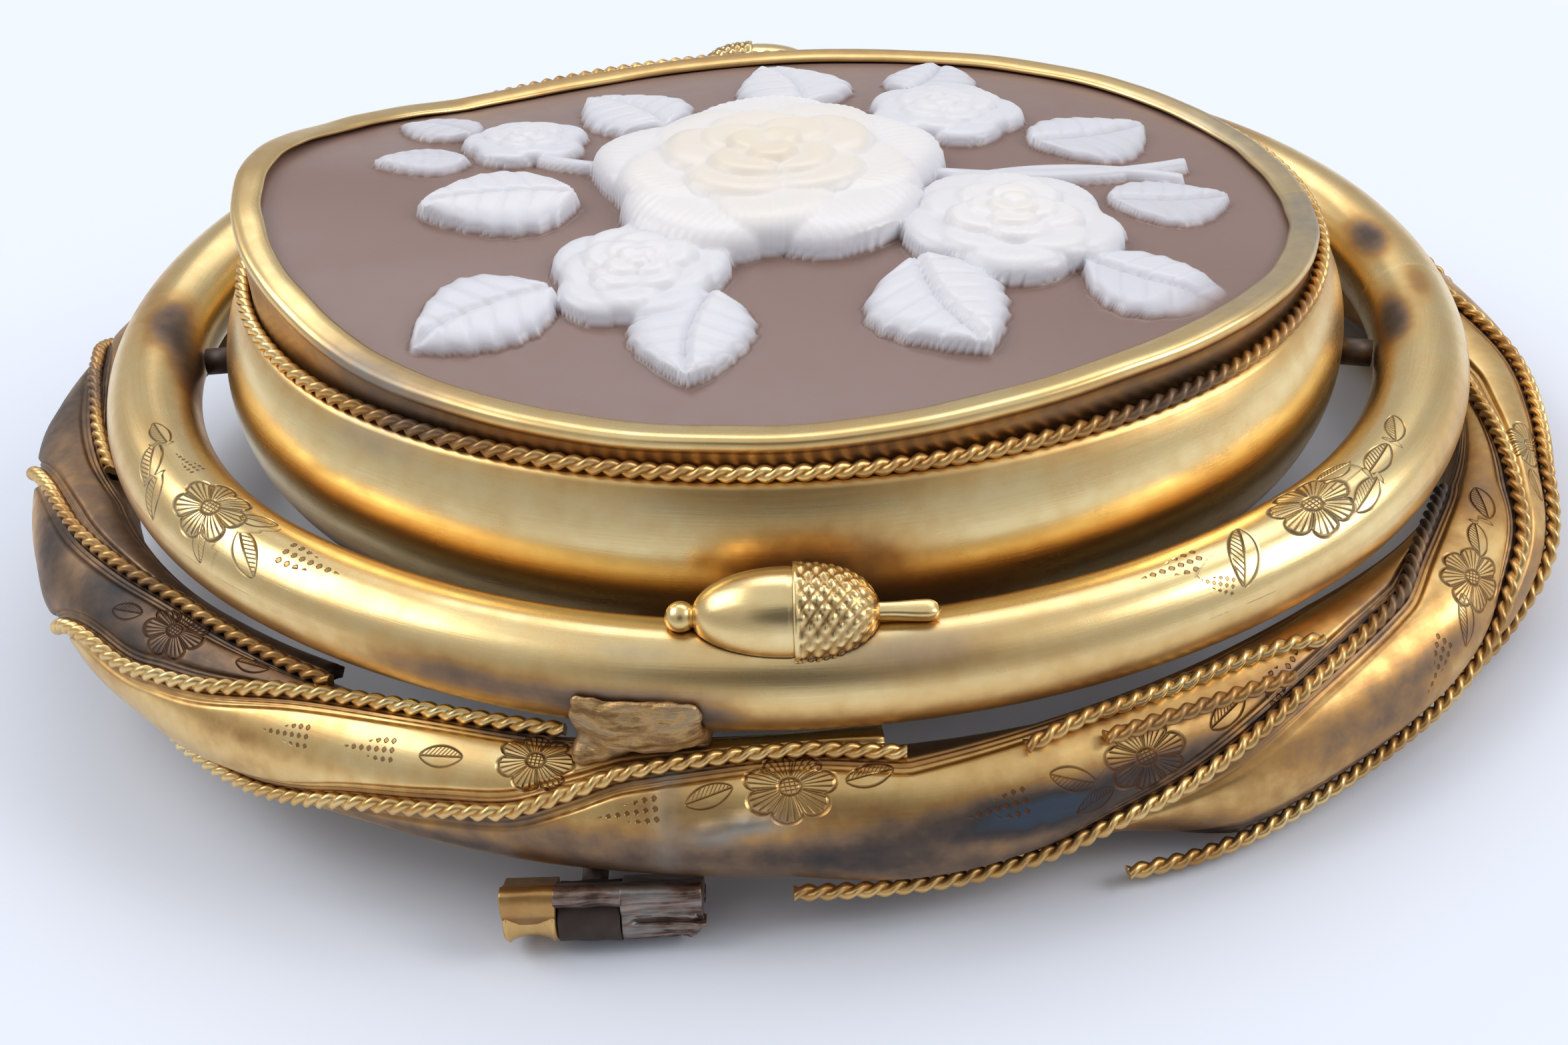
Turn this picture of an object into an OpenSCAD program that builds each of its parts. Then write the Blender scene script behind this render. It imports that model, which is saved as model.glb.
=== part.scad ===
// Cameo brooch lying on its back. A carved shell cameo sits in a rolled bezel on a bulged gallery,
// inside a round tube ring, inside a wreath of overlapping hollow leaves edged with wire.
// Millimetres. X runs along the long axis, the hinge is at -Y and the catch at +Y, Z is up.
// Everything is built around the middle of the tube ring and then laid on the surface by lay().

/* [Cameo] */
// Half of the shell's length
cameo_half_length = 22.7; // [18:0.1:28]
// Half of the shell's width
cameo_half_width = 18.7; // [15:0.1:24]
// Thickness of the shell under the carving
shell_thickness = 1.8; // [1.2:0.1:2.6]
// Height of the tallest carving above the ground
relief_height = 2.6; // [1:0.1:3.6]
// How far the ground swells up in the middle
shell_dome = 0.9; // [0:0.1:2]

/* [Setting] */
// Wall of the bezel's collar
collar_wall = 0.4; // [0.3:0.05:0.7]
// How far the rolled lip reaches in over the shell
lip_reach = 0.75; // [0.4:0.05:1.2]
// Highest rise of the rim above the twisted wire, at the left end
rim_rise = 4.0; // [2:0.1:6]
// Thickness of the twisted wire round the collar
collar_wire_d = 0.62; // [0.4:0.02:0.9]
// Height of the gallery band
gallery_height = 7.6; // [5:0.1:10]
// How far the gallery swells out beyond its edges
gallery_bulge = 1.3; // [0.6:0.1:2.2]
// Wall of the gallery band
gallery_wall = 0.35; // [0.3:0.05:0.7]
// Height of the gallery's top edge above the tube's middle
gallery_top = 4.55; // [3:0.05:6]
// Forward rise of the whole setting, in degrees
setting_tilt = 2; // [0:0.5:3]

/* [Tube ring] */
// Outer diameter of the tube
tube_d = 4.0; // [3:0.1:5]
// Wall of the tube
tube_wall = 0.4; // [0.25:0.05:0.8]
// Gap between gallery and tube at the two ends
ring_end_gap = 1.4; // [1:0.1:3]
// Gap between gallery and tube at the two long sides
ring_side_gap = 0.85; // [0.6:0.05:3]
// Diameter of the pegs between gallery and tube
peg_d = 1.2; // [0.8:0.1:2]

/* [Acorns] */
// Length of an acorn's nut and cup together
acorn_length = 6.7; // [5:0.1:9]
// Diameter of an acorn's cup
acorn_d = 3.7; // [3:0.1:4.6]
// Diameter of the ball at the tip
acorn_tip_d = 1.15; // [0.7:0.05:1.6]
// Length of the flat stalk
stalk_length = 2.1; // [1:0.1:3]

/* [Wreath] */
// How far the wreath's middle lies outside the tube's at the two ends
wreath_end_offset = 3.9; // [3:0.1:6]
// How far the wreath's middle lies outside the tube's at the two long sides
wreath_side_offset = 1.2; // [0.8:0.1:4]
// How far the wreath's middle lies below the tube's
wreath_drop = 5.2; // [5:0.1:7]
// Radius of the leaves at their edges
leaf_radius = 2.55; // [2.2:0.1:3.2]
// Extra swell of a leaf between its edges
leaf_swell = 0.3; // [0.1:0.05:0.5]
// Thickness of a hollow leaf
leaf_depth = 0.4; // [0.3:0.05:0.6]
// Thickness of the twisted edge wires
edge_wire_d = 0.6; // [0.4:0.02:0.8]

/* [Pin] */
// Outer diameter of the hinge barrel
barrel_d = 2.3; // [1.8:0.1:3]
// Diameter of the hole through the barrel
barrel_bore = 0.9; // [0.6:0.1:1.2]
// Length of the gold knuckle
knuckle_gold = 2.0; // [1.5:0.1:3]
// Length of the middle knuckle, which carries the pin
knuckle_pin = 2.3; // [1.5:0.1:3]
// Length of the torn knuckle
knuckle_torn = 3.0; // [2:0.1:4]
// How far the hinge's left end lies from the middle
hinge_left = 10.8; // [8:0.1:14]
// Thickness of the pin
pin_d = 1.0; // [0.7:0.1:1.4]
// Width of the catch
catch_width = 2.4; // [1.5:0.1:4]
// Wall of the catch
catch_wall = 0.5; // [0.4:0.05:0.9]

/* [Hidden] */

seat_gap = 0.05; // clearance where one soldered piece sits on another
joint_step = 0.02; // how much slimmer an oval's end arcs are than its side arcs
joint_lap = 0.25; // degrees by which the end arcs reach into the side arcs
fullness = 1.5; // how far the end arcs' centres lie out, as a share of length less width
round_fn = 72;
wire_sides = 8;

gilt = [0.83, 0.66, 0.32];
dull_gilt = [0.62, 0.50, 0.30];
dark_metal = [0.30, 0.27, 0.26];

tube_r = tube_d / 2;
collar_half_length = cameo_half_length + seat_gap + collar_wall;
collar_half_width = cameo_half_width + seat_gap + collar_wall;
wire_out = seat_gap + collar_wire_d / 2;
gallery_edge_out = seat_gap + 1.35 * gallery_wall;
gallery_out = gallery_edge_out + gallery_bulge;
ring_half_length = collar_half_length + gallery_out + ring_end_gap + tube_r;
ring_half_width = collar_half_width + gallery_out + ring_side_gap + tube_r;
wreath_half_length = ring_half_length + wreath_end_offset;
wreath_half_width = ring_half_width + wreath_side_offset;
wire_plane = gallery_top + seat_gap + collar_wire_d / 2;

// Four-arc ovals
// An oval is [half length, half width]. Its normal's direction picks a point on it.
function end_out(o) = fullness * (o[0] - o[1]);
function end_r(o) = o[0] - end_out(o);
function side_r(o) = (pow(end_out(o), 2) + pow(o[1], 2) - pow(end_r(o), 2)) / (2 * (o[1] - end_r(o)));
function side_in(o) = side_r(o) - o[1];
function meet(o) = atan2(side_in(o), end_out(o));
function grown(o, d) = [o[0] + d, o[1] + d];
function on_end(o, a) = abs(sin(a)) * cos(meet(o)) <= abs(cos(a)) * sin(meet(o));
function oval_point(o, a) = on_end(o, a)
  ? [sign(cos(a)) * end_out(o) + end_r(o) * cos(a), end_r(o) * sin(a)]
  : [side_r(o) * cos(a), -sign(sin(a)) * side_in(o) + side_r(o) * sin(a)];

collar = [collar_half_length, collar_half_width];
ring = [ring_half_length, ring_half_width];
wreath = [wreath_half_length, wreath_half_width];

// Shapes from points
// Value of a table's column at a, between rows, held level past the ends
function table_at(rows, a, col) =
  a <= rows[0][0] ? rows[0][col]
  : a >= rows[len(rows) - 1][0] ? rows[len(rows) - 1][col]
  : let (i = max([for (k = [0 : len(rows) - 2]) if (rows[k][0] <= a) k]),
         t = (a - rows[i][0]) / (rows[i + 1][0] - rows[i][0]),
         w = max(i - 1, 0), z = min(i + 2, len(rows) - 1),
         p0 = rows[i][col], p1 = rows[i + 1][col],
         h = rows[i + 1][0] - rows[i][0],
         m0 = (p1 - rows[w][col]) / (rows[i + 1][0] - rows[w][0]) * h,
         m1 = (rows[z][col] - p0) / (rows[z][0] - rows[i][0]) * h)
    (2 * pow(t, 3) - 3 * pow(t, 2) + 1) * p0 + (pow(t, 3) - 2 * pow(t, 2) + t) * m0
    + (3 * pow(t, 2) - 2 * pow(t, 3)) * p1 + (pow(t, 3) - pow(t, 2)) * m1;

// A solid through a list of sections that have the same number of points
// A woven skin turns every other fold, so that raised and sunk points make diamonds. A bent
// section's ends are closed by triangles between its first half and its second.
module skin(sections, closed = false, woven = false, bent = false) {
  n = len(sections[0]);
  m = len(sections);
  points = [for (s = sections) for (p = s) p];
  sides = [for (i = [0 : closed ? m - 1 : m - 2]) for (j = [0 : n - 1])
    let (k = (i + 1) % m, l = (j + 1) % n, f = [i * n + j, i * n + l, k * n + l, k * n + j])
      each woven && (i + j) % 2 == 0 ? [[f[0], f[1], f[3]], [f[1], f[2], f[3]]]
        : [[f[0], f[1], f[2]], [f[0], f[2], f[3]]]];
  cap = bent ? [for (j = [0 : n / 2 - 2]) each [[j, j + 1, n - 1 - j], [j + 1, n - 2 - j, n - 1 - j]]]
    : [[for (j = [0 : n - 1]) j]];
  ends = closed ? [] : concat([for (f = cap) [for (i = [len(f) - 1 : -1 : 0]) f[i]]],
    [for (f = cap) [for (i = f) (m - 1) * n + i]]);
  polyhedron(points = points, faces = concat(sides, ends));
}

function unit(v) = v / norm(v);

// A round wire of thickness d along a path
module wire(path, d) {
  last = len(path) - 1;
  skin([for (i = [0 : last])
    let (t = unit(path[min(i + 1, last)] - path[max(i - 1, 0)]),
         u = unit(cross([0, 0, 1], t)),
         v = cross(t, u))
      [for (j = [0 : wire_sides - 1])
        let (a = -360 * j / wire_sides) path[i] + d / 2 * (cos(a) * u + sin(a) * v)]]);
}

// A flat outline carried round an oval: its X is the distance outside the oval, its Y the height.
// The end arcs are slimmer by $slim and reach a little into the side arcs, so that all four fuse.
module round_oval(o) {
  t = meet(o);
  for (s = [0, 180]) {
    rotate([0, 0, s]) translate([end_out(o), 0, 0]) rotate([0, 0, -t - joint_lap])
      rotate_extrude(angle = 2 * (t + joint_lap), $fn = round_fn)
        let ($slim = joint_step) translate([end_r(o), 0]) children();
    rotate([0, 0, s]) translate([0, -side_in(o), 0]) rotate([0, 0, t])
      rotate_extrude(angle = 180 - 2 * t, $fn = round_fn)
        let ($slim = 0) translate([side_r(o), 0]) children();
  }
}

module in_setting() {
  rotate([-setting_tilt, 0, 0]) children();
}

// Cameo
// Rise of the rim above the collar's wire round the oval: angle, share of rim_rise
RIM = [
  [0, 0.20], [30, 0.17], [60, 0.21], [90, 0.13], [120, 0.12], [150, 0.52],
  [180, 0.97], [210, 0.80], [240, 0.40], [270, 0.32], [300, 0.48], [330, 0.40], [360, 0.20]
];
rim_mean = 0.39; // about the mean of the table's shares
function rim_at(a) = rim_rise * table_at(concat([[-30, 0.40]], RIM, [[390, 0.17]]), (a + 720) % 360, 1);

cameo_across = 50;
cameo_deep = 42;
cameo_edge_drop = 0.55; // how far the shell's edge lies under the rim's top
cameo_oval = [cameo_half_length, cameo_half_width];

// Ground of the carving in the setting's frame, for a direction a and a share r of the way out
function ground(a, r) = wire_plane - cameo_edge_drop
  + rim_mean * rim_rise + (rim_at(a) - rim_mean * rim_rise) * pow(r, 2) + shell_dome * (1 - pow(r, 2));

// Open flowers: place along and across, radius, petals, height, turn. Lengths are shares of
// cameo_half_width and heights are shares of relief_height.
FLOWERS = [
  [-0.02, 0.02, 0.42, 5, 0.86, 20],
  [0.52, -0.26, 0.25, 5, 0.62, 50],
  [-0.30, -0.42, 0.20, 5, 0.50, 10],
  [0.42, 0.40, 0.20, 5, 0.44, 0],
  [-0.62, 0.26, 0.16, 5, 0.40, 35]
];
// Leaves: foot along and across, length, width, direction, height
LEAVES = [
  [0.30, -0.42, 0.36, 0.15, -70, 0.30],
  [0.66, -0.42, 0.34, 0.13, -28, 0.22],
  [0.76, -0.10, 0.30, 0.12, 12, 0.18],
  [0.62, 0.22, 0.34, 0.14, 28, 0.20],
  [0.34, 0.56, 0.30, 0.12, 70, 0.22],
  [0.06, 0.44, 0.38, 0.15, 105, 0.30],
  [-0.28, 0.34, 0.36, 0.14, 128, 0.28],
  [-0.48, -0.48, 0.34, 0.13, 215, 0.24],
  [-0.14, -0.52, 0.30, 0.13, 262, 0.26],
  [-0.46, -0.10, 0.36, 0.14, 192, 0.32],
  [-0.76, 0.34, 0.24, 0.10, 150, 0.18],
  [-0.74, 0.12, 0.22, 0.09, 190, 0.18]
];
// Stems: start along and across, end along and across, sideways bow, width, height
STEMS = [
  [0.36, 0.02, 0.98, 0.14, -0.06, 0.030, 0.20],
  [0.36, -0.06, 0.96, 0.04, 0.06, 0.028, 0.20],
  [-0.40, 0.08, -0.64, 0.22, 0.03, 0.028, 0.20],
  [-0.20, -0.20, -0.32, -0.36, 0.02, 0.028, 0.20]
];

function petal_edge(a, n) = 0.74 + 0.26 * pow(abs(cos(n * a / 2)), 0.6);
function bowl(d, inner) = d >= 1 ? 0 : pow(1 - pow(d, 4), 0.5) * (inner + (1 - inner) * pow(d, 1.4));
function flower_height(f, x, y) =
  let (dx = x - f[0], dy = y - f[1], d = norm([dx, dy]) / f[2])
    d >= 1 ? 0
    : let (a = atan2(dy, dx) - f[5],
           outer = 0.62 * bowl(d / petal_edge(a, f[3]), 0.55),
           middle = 0.84 * bowl(d / (0.66 * petal_edge(a + 36, f[3])), 0.6),
           heart = bowl(d / (0.34 * petal_edge(a, 3)), 0.8))
      f[4] * max(outer, middle, heart);
function leaf_height(l, x, y) =
  let (dx = x - l[0], dy = y - l[1],
       u = (dx * cos(l[4]) + dy * sin(l[4])) / l[2],
       v = (dy * cos(l[4]) - dx * sin(l[4])) / l[3])
    u <= 0 || u >= 1 ? 0
    : let (half = pow(sin(180 * pow(u, 0.8)), 0.8), w = abs(v) / max(half, 0.01))
      w >= 1 ? 0 : l[5] * pow(1 - pow(w, 3), 0.5) * (0.72 + 0.28 * min(1, abs(v) * 6));
function stem_height(s, x, y) =
  let (ax = s[2] - s[0], ay = s[3] - s[1], reach = norm([ax, ay]),
       u = ((x - s[0]) * ax + (y - s[1]) * ay) / pow(reach, 2),
       v = ((y - s[1]) * ax - (x - s[0]) * ay) / reach - s[4] * 4 * u * (1 - u))
    u <= 0 || u >= 1 || abs(v) >= s[5] ? 0 : s[6] * sqrt(1 - pow(v / s[5], 2));
function relief(x, y) = relief_height * max(concat(
  [for (f = FLOWERS) flower_height(f, x, y)],
  [for (l = LEAVES) leaf_height(l, x, y)],
  [for (s = STEMS) stem_height(s, x, y)]));

// A point of the shell's face for a place in the unit square, which maps onto the unit disc
function shell_point(u, v) =
  let (dx = u * sqrt(1 - v * v / 2), dy = v * sqrt(1 - u * u / 2),
       r = norm([dx, dy]), a = atan2(dy * cameo_half_length, dx * cameo_half_width),
       edge = r < 0.001 ? [0, 0] : shell_edge(atan2(dy, dx)),
       x = edge[0] * r, y = edge[1] * r,
       keep = max(0, min(1, (0.95 - r) * 12)))
    [x, y, ground(a, r) + keep * relief(x / cameo_half_width, y / cameo_half_width)];
// Point of the shell's edge straight out from the middle at angle t of the disc
function shell_edge(t) =
  let (a = atan2(sin(t) * cameo_half_length, cos(t) * cameo_half_width))
    oval_point(cameo_oval, a);

function rim_walk() = concat(
  [for (i = [0 : cameo_across - 1]) [i, 0]],
  [for (j = [0 : cameo_deep - 1]) [cameo_across, j]],
  [for (i = [cameo_across : -1 : 1]) [i, cameo_deep]],
  [for (j = [cameo_deep : -1 : 1]) [0, j]]);

module cameo() {
  row = cameo_across + 1;
  face = [for (j = [0 : cameo_deep]) for (i = [0 : cameo_across])
    shell_point(2 * i / cameo_across - 1, 2 * j / cameo_deep - 1)];
  walk = rim_walk();
  n = len(walk);
  top = len(face);
  back = [for (w = walk) face[w[1] * row + w[0]] - [0, 0, shell_thickness]];
  middle = [0, 0, ground(0, 0) - shell_thickness];
  cells = [for (j = [0 : cameo_deep - 1]) for (i = [0 : cameo_across - 1]) [i + j * row, i, j]];
  tops = [for (c = cells) let (k = c[0], cross_over = (c[1] < cameo_across / 2) == (c[2] < cameo_deep / 2))
    each cross_over ? [[k, k + row + 1, k + 1], [k, k + row, k + row + 1]]
      : [[k, k + row, k + 1], [k + 1, k + row, k + row + 1]]];
  walls = [for (i = [0 : n - 1]) let (p = walk[i], q = walk[(i + 1) % n],
      a = p[1] * row + p[0], b = q[1] * row + q[0])
    each [[a, b, top + (i + 1) % n], [a, top + (i + 1) % n, top + i]]];
  backs = [for (i = [0 : n - 1]) [top + i, top + (i + 1) % n, top + n]];
  color("mistyrose") lay() in_setting()
    polyhedron(points = concat(face, back, [middle]), faces = concat(tops, walls, backs));
}

// Setting
collar_tuck = 0.9; // how far the collar reaches down inside the gallery
lip_thickness = 0.32;
bezel_stations = 60;

// The bezel's section at angle a: distance outside the collar, height
function bezel_section(a) =
  let (top = wire_plane + rim_at(a), foot = gallery_top - collar_tuck,
       roll = 0.14 * ramp((rim_at(a) - 0.7) * 2))
    [[0, foot], [0, top - 0.62], [roll, top - 0.42], [roll * 0.7, top - 0.12], [-0.12, top],
     [-collar_wall - lip_reach * 0.6, top - 0.02], [-collar_wall - lip_reach, top - 0.12],
     [-collar_wall - lip_reach, top - lip_thickness - 0.02], [-collar_wall, top - lip_thickness],
     [-collar_wall, foot]];

module bezel() {
  color(gilt) lay() in_setting()
    skin([for (i = [0 : bezel_stations - 1])
      let (a = -360 * i / bezel_stations, p = oval_point(collar, a))
        [for (q = bezel_section(a)) [p[0] + q[0] * cos(a), p[1] + q[0] * sin(a), q[1]]]], closed = true);
}

module collar_wire() {
  color(gilt) lay() in_setting() translate([0, 0, wire_plane])
    round_oval(collar) translate([wire_out, 0]) circle(d = collar_wire_d - 2 * $slim, $fn = round_fn);
}

gallery_middle = gallery_top - gallery_height / 2;
gallery_arc_r = pow(gallery_height / 2, 2) / (2 * gallery_bulge) + gallery_bulge / 2;
// Pegs: angle round the oval
PEGS = [-13, 66, 114, 186];
peg_root = gallery_wall * 0.6; // how far a peg starts inside the band's outer face
gallery_rim = grown(collar, gallery_out);
// Room between gallery and tube at a
function room_at(a) = (oval_point(ring, a) - oval_point(gallery_rim, a)) * [cos(a), sin(a)] - tube_r;

module gallery() {
  arc_in = gallery_out - gallery_arc_r;
  color(gilt) lay() in_setting() union() {
    translate([0, 0, gallery_middle]) round_oval(collar) intersection() {
      difference() {
        translate([arc_in, 0]) circle(r = gallery_arc_r - $slim, $fn = round_fn);
        translate([arc_in, 0]) circle(r = gallery_arc_r - gallery_wall + $slim, $fn = round_fn);
      }
      translate([0, -gallery_height / 2 + $slim]) square([gallery_out + 1, gallery_height - 2 * $slim]);
    }
    for (a = PEGS) {
      p = oval_point(gallery_rim, a) - peg_root * [cos(a), sin(a)];
      translate([p[0], p[1], 0]) rotate([0, 90, a])
        cylinder(d = peg_d, h = peg_root + room_at(a) - 2 * seat_gap, $fn = round_fn);
    }
  }
}

// Tube ring and acorns
module tube_solid(r) {
  round_oval(ring) circle(r = r - $slim, $fn = round_fn);
}

module tube_ring() {
  color(gilt) lay() round_oval(ring) difference() {
    circle(r = tube_r - $slim, $fn = round_fn);
    circle(r = tube_r - tube_wall + $slim, $fn = round_fn);
  }
}

cup_share = 0.455; // share of the acorn's length taken by the cup
cup_rounds = 22; // even, so that the diamonds close up
cup_steps = 10;
nut_steps = 7;
diamond_cut = 0.07; // depth of the cuts between the diamonds, as a share of the cup's radius
// Front and back acorn: direction on the tube from outward over the top, share of the thickness
// that lies below the tube's crown, how far the cup's mouth lies along the tube from the middle
FRONT_SEAT = [104, 0.39, 0.35];
BACK_SEAT = [118, 0.5, 1.5];
nut_share = 0.92; // nut's diameter at the cup's mouth, as a share of the cup's
stalk_width = 0.75;

function cup_r(u) = acorn_d / 2 * sqrt(max(1 - pow(u, 2.6), 0));

module acorn_cup() {
  long = acorn_length * cup_share;
  skin([for (i = [0 : cup_steps])
    let (u = i / cup_steps * 0.97)
      [for (j = [0 : cup_rounds - 1])
        let (w = -360 * j / cup_rounds, r = cup_r(u) * (1 - diamond_cut * ((i + j) % 2)))
          [u * long, r * cos(w), r * sin(w)]]], woven = true);
}

module acorn_nut() {
  long = acorn_length * (1 - cup_share);
  rotate([0, -90, 0]) rotate_extrude($fn = cup_rounds) polygon(concat([[0, 0]],
    [for (i = [0 : nut_steps]) let (t = i / nut_steps)
      [acorn_d / 2 * nut_share * sqrt(1 - pow(t, 2.4) * 0.96), long * t]],
    [[0, long]]));
}

// An acorn lying along X, its cup's mouth at the middle
module acorn_shape() {
  nut = acorn_length * (1 - cup_share);
  cup = acorn_length * cup_share;
  acorn_cup();
  translate([0.05, 0, 0]) acorn_nut();
  translate([-nut - acorn_tip_d * 0.3, 0, 0]) sphere(d = acorn_tip_d, $fn = 14);
  translate([cup * 0.8, -stalk_width / 2, -stalk_width * 0.4])
    cube([stalk_length + cup * 0.2, stalk_width, stalk_width * 0.8]);
}

// A seated acorn for the front of the ring, turned about the middle
module seated_acorn(seat, turn) {
  p = oval_point(ring, -90);
  out = tube_r + acorn_d * (0.5 - seat[1]);
  rotate([0, 0, turn]) difference() {
    translate([seat[2], p[1] - out * cos(seat[0]), out * sin(seat[0])])
      rotate([seat[0] - 90, 0, 0]) acorn_shape();
    tube_solid(tube_r + seat_gap);
    rotate([0, 0, -turn]) in_setting() gallery_envelope();
  }
}

// The room that the gallery takes, with a clearance
module gallery_envelope() {
  translate([0, 0, gallery_middle]) round_oval(collar) intersection() {
    translate([gallery_out - gallery_arc_r, 0])
      circle(r = gallery_arc_r + 2 * seat_gap - $slim, $fn = round_fn);
    translate([-3, -gallery_height]) square([gallery_out + 4, 2 * gallery_height]);
  }
}

module acorn_front() {
  color(gilt) lay() seated_acorn(FRONT_SEAT, 0);
}

module acorn_back() {
  color(gilt) lay() seated_acorn(BACK_SEAT, 180);
}

// Wreath
core_r = leaf_radius - leaf_depth - 8 * seat_gap;
wire_seat = 3 * seat_gap + edge_wire_d / 2; // from a leaf's edge out to the wire's middle

// A point of the wreath: angle round the oval, climb round the tube from outward over the top, radius
function wreath_point(a, climb, r) =
  let (p = oval_point(wreath, a))
    [p[0] + r * cos(climb) * cos(a), p[1] + r * cos(climb) * sin(a), r * sin(climb) - wreath_drop];

module wreath_tube() {
  color(dull_gilt) lay() translate([0, 0, -wreath_drop]) round_oval(wreath) difference() {
    circle(r = core_r - $slim, $fn = round_fn);
    circle(r = core_r - tube_wall + $slim, $fn = round_fn);
  }
}

// Edge wires seen in front: angle, climb, lift off the leaves as a share of leaf_radius
FRONT_WIRES = [
  [[173, -60, 0.05], [180, -45, 0.05], [184, -20, 0.1], [189, 10, 0.05], [194, 40, 0], [200, 60, 0],
   [210, 75, 0], [220, 90, 0], [230, 100, 0], [244, 90, 0]],
  [[205, -60, 0.05], [209, -40, 0.1], [213, -15, 0.05], [217, 10, 0], [222, 25, 0], [230, 30, 0],
   [236, 45, 0], [243, 75, 0], [250, 90, 0], [258, 95, 0]],
  [[229, -65, 0.1], [233, -50, 0.1], [240, -30, 0.1], [243, -20, 0.05], [247, 0, 0], [252, 15, 0],
   [256, 25, 0], [259, 45, 0], [262, 65, 0], [270, 85, 0], [276, 75, 0.05]],
  [[270, -40, 0.2], [278, -45, 0.2], [282, -35, 0.1], [286, -10, 0], [290, 10, 0], [298, 50, 0],
   [307, 80, 0], [313, 100, 0], [320, 115, 0], [328, 125, 0]],
  [[287, -45, 0.6], [292, -40, 0.65], [298, -35, 0.5], [305, -30, 0.3], [311, -20, 0.15],
   [315, -5, 0.05], [319, 20, 0], [326, 45, 0], [332, 70, 0], [346, 105, 0], [353, 115, 0]],
  [[314, -40, 0.15], [319, -35, 0.15], [325, -20, 0.1], [330, 10, 0.1], [338, 40, 0], [347, 50, 0],
   [356, 55, 0], [364, 70, 0], [372, 85, 0], [386, 105, 0]]
];
// The other wires follow one course: angle from the crown crossing, climb, lift
PLAIN_COURSE = [
  [-26, -35, 0.05], [-20, -30, 0.05], [-14, -10, 0], [-9, 15, 0], [-4, 40, 0], [0, 60, 0], [5, 75, 0],
  [11, 90, 0], [27, 115, 0]
];
PLAIN_CROSSINGS = [387, 416, 445, 474, 503, 532];
WIRES = concat(FRONT_WIRES,
  [for (c = PLAIN_CROSSINGS) [for (r = PLAIN_COURSE) [r[0] + c, r[1], r[2]]]]);
wire_count = len(WIRES);

// The wire after the last is the first again, one turn on
function wire_rows(k) = let (turn = 360 * floor(k / wire_count))
  [for (r = WIRES[(k + wire_count) % wire_count]) [r[0] + turn, r[1], r[2]]];
function wire_path(rows) =
  let (from = rows[0][0], to = rows[len(rows) - 1][0], steps = max(6, round(abs(to - from) / 3.2)))
    [for (i = [0 : steps]) let (a = from + (to - from) * i / steps)
      wreath_point(a, table_at(rows, a, 1), leaf_radius * (1 + table_at(rows, a, 2)) + wire_seat)];

module edge_wire(k) {
  color(gilt) lay() wire(wire_path(wire_rows(k)), edge_wire_d);
}

// Leaves
leaf_foot = -76; // climb of a leaf's foot on the underside
leaf_inner = 128; // climb at which a leaf is hidden on the inside
leaf_gap = 4.4; // degrees left free beside a wire
leaf_least = 3; // least breadth of a leaf, in degrees
leaf_rise = 6; // degrees round the oval in which a wire comes up from the underside
leaf_steps = 15;
across_steps = 5;
inner_steps = 5;

function ramp(t) = max(0, min(1, t));
// How far a wire has come up from the underside at a
function begun(k, a) = ramp((a - wire_rows(k)[0][0]) / leaf_rise);
function upper_edge(k, a) = let (rows = wire_rows(k), last = rows[len(rows) - 1])
  a > last[0] ? min(leaf_inner, last[1] + (a - last[0]) * 2)
    : leaf_foot + (table_at(rows, a, 1) - leaf_foot) * begun(k, a);
function lower_edge(k, a) = upper_edge(k + 1, a);
function upper_lift(k, a) = table_at(wire_rows(k), a, 2) * begun(k, a);
function leaf_from(k) = wire_rows(k)[0][0] + 1;
function leaf_to(k) = let (rows = wire_rows(k + 1)) rows[len(rows) - 1][0] - 1;

function leaf_section(k, a) =
  let (high = upper_edge(k, a) - leaf_gap, low = min(lower_edge(k, a) + leaf_gap, high - leaf_least),
       swell = leaf_swell * ramp((high - low) / 40),
       lift_high = upper_lift(k, a), lift_low = upper_lift(k + 1, a))
    concat(
      [for (i = [0 : across_steps]) let (t = i / across_steps)
        wreath_point(a, low + (high - low) * t,
          leaf_radius * (1 + lift_low + (lift_high - lift_low) * t) + swell * sin(180 * t))],
      [for (i = [inner_steps : -1 : 0]) let (t = i / inner_steps)
        wreath_point(a, low + (high - low) * t,
          leaf_radius * (1 + lift_low + (lift_high - lift_low) * t) - leaf_depth)]);

module leaf(k, shade) {
  color(shade) lay() skin([for (i = [0 : leaf_steps])
    leaf_section(k, leaf_to(k) + (leaf_from(k) - leaf_to(k)) * i / leaf_steps)]);
}

// The broken end of the third wire, sprung up off the leaf: angle, climb, lift
LOOSE_WIRE = [
  [282, 66, 0.1], [285, 75, 0.2], [288, 80, 0.15], [291, 84, 0.1], [295, 86, 0.1], [298, 83, 0.1],
  [300, 75, 0.1]
];
// The stretch of wire left under it
INNER_WIRE = [[286, 60], [290, 62], [294, 62], [297, 60]];

module loose_wire() {
  color(gilt) lay() wire(wire_path(LOOSE_WIRE), edge_wire_d);
}

module inner_wire() {
  color(gilt) lay() wire([for (r = INNER_WIRE)
    wreath_point(r[0], r[1], leaf_radius + leaf_swell + wire_seat)], edge_wire_d);
}

// Solder lump between tube and wreath
// Angle round the tube, thickness as a share of lump_size, climb of its lower edge on the leaves
LUMP = [
  [257.5, 0.35, 66], [258.5, 0.8, 70], [259.5, 1, 74], [260.5, 0.9, 78], [262, 1, 82],
  [263, 0.95, 84], [264, 0.7, 86], [265, 0.3, 88]
];
lump_size = 1.4;
function turned(r, a) = r * [cos(a), sin(a)];

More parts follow.
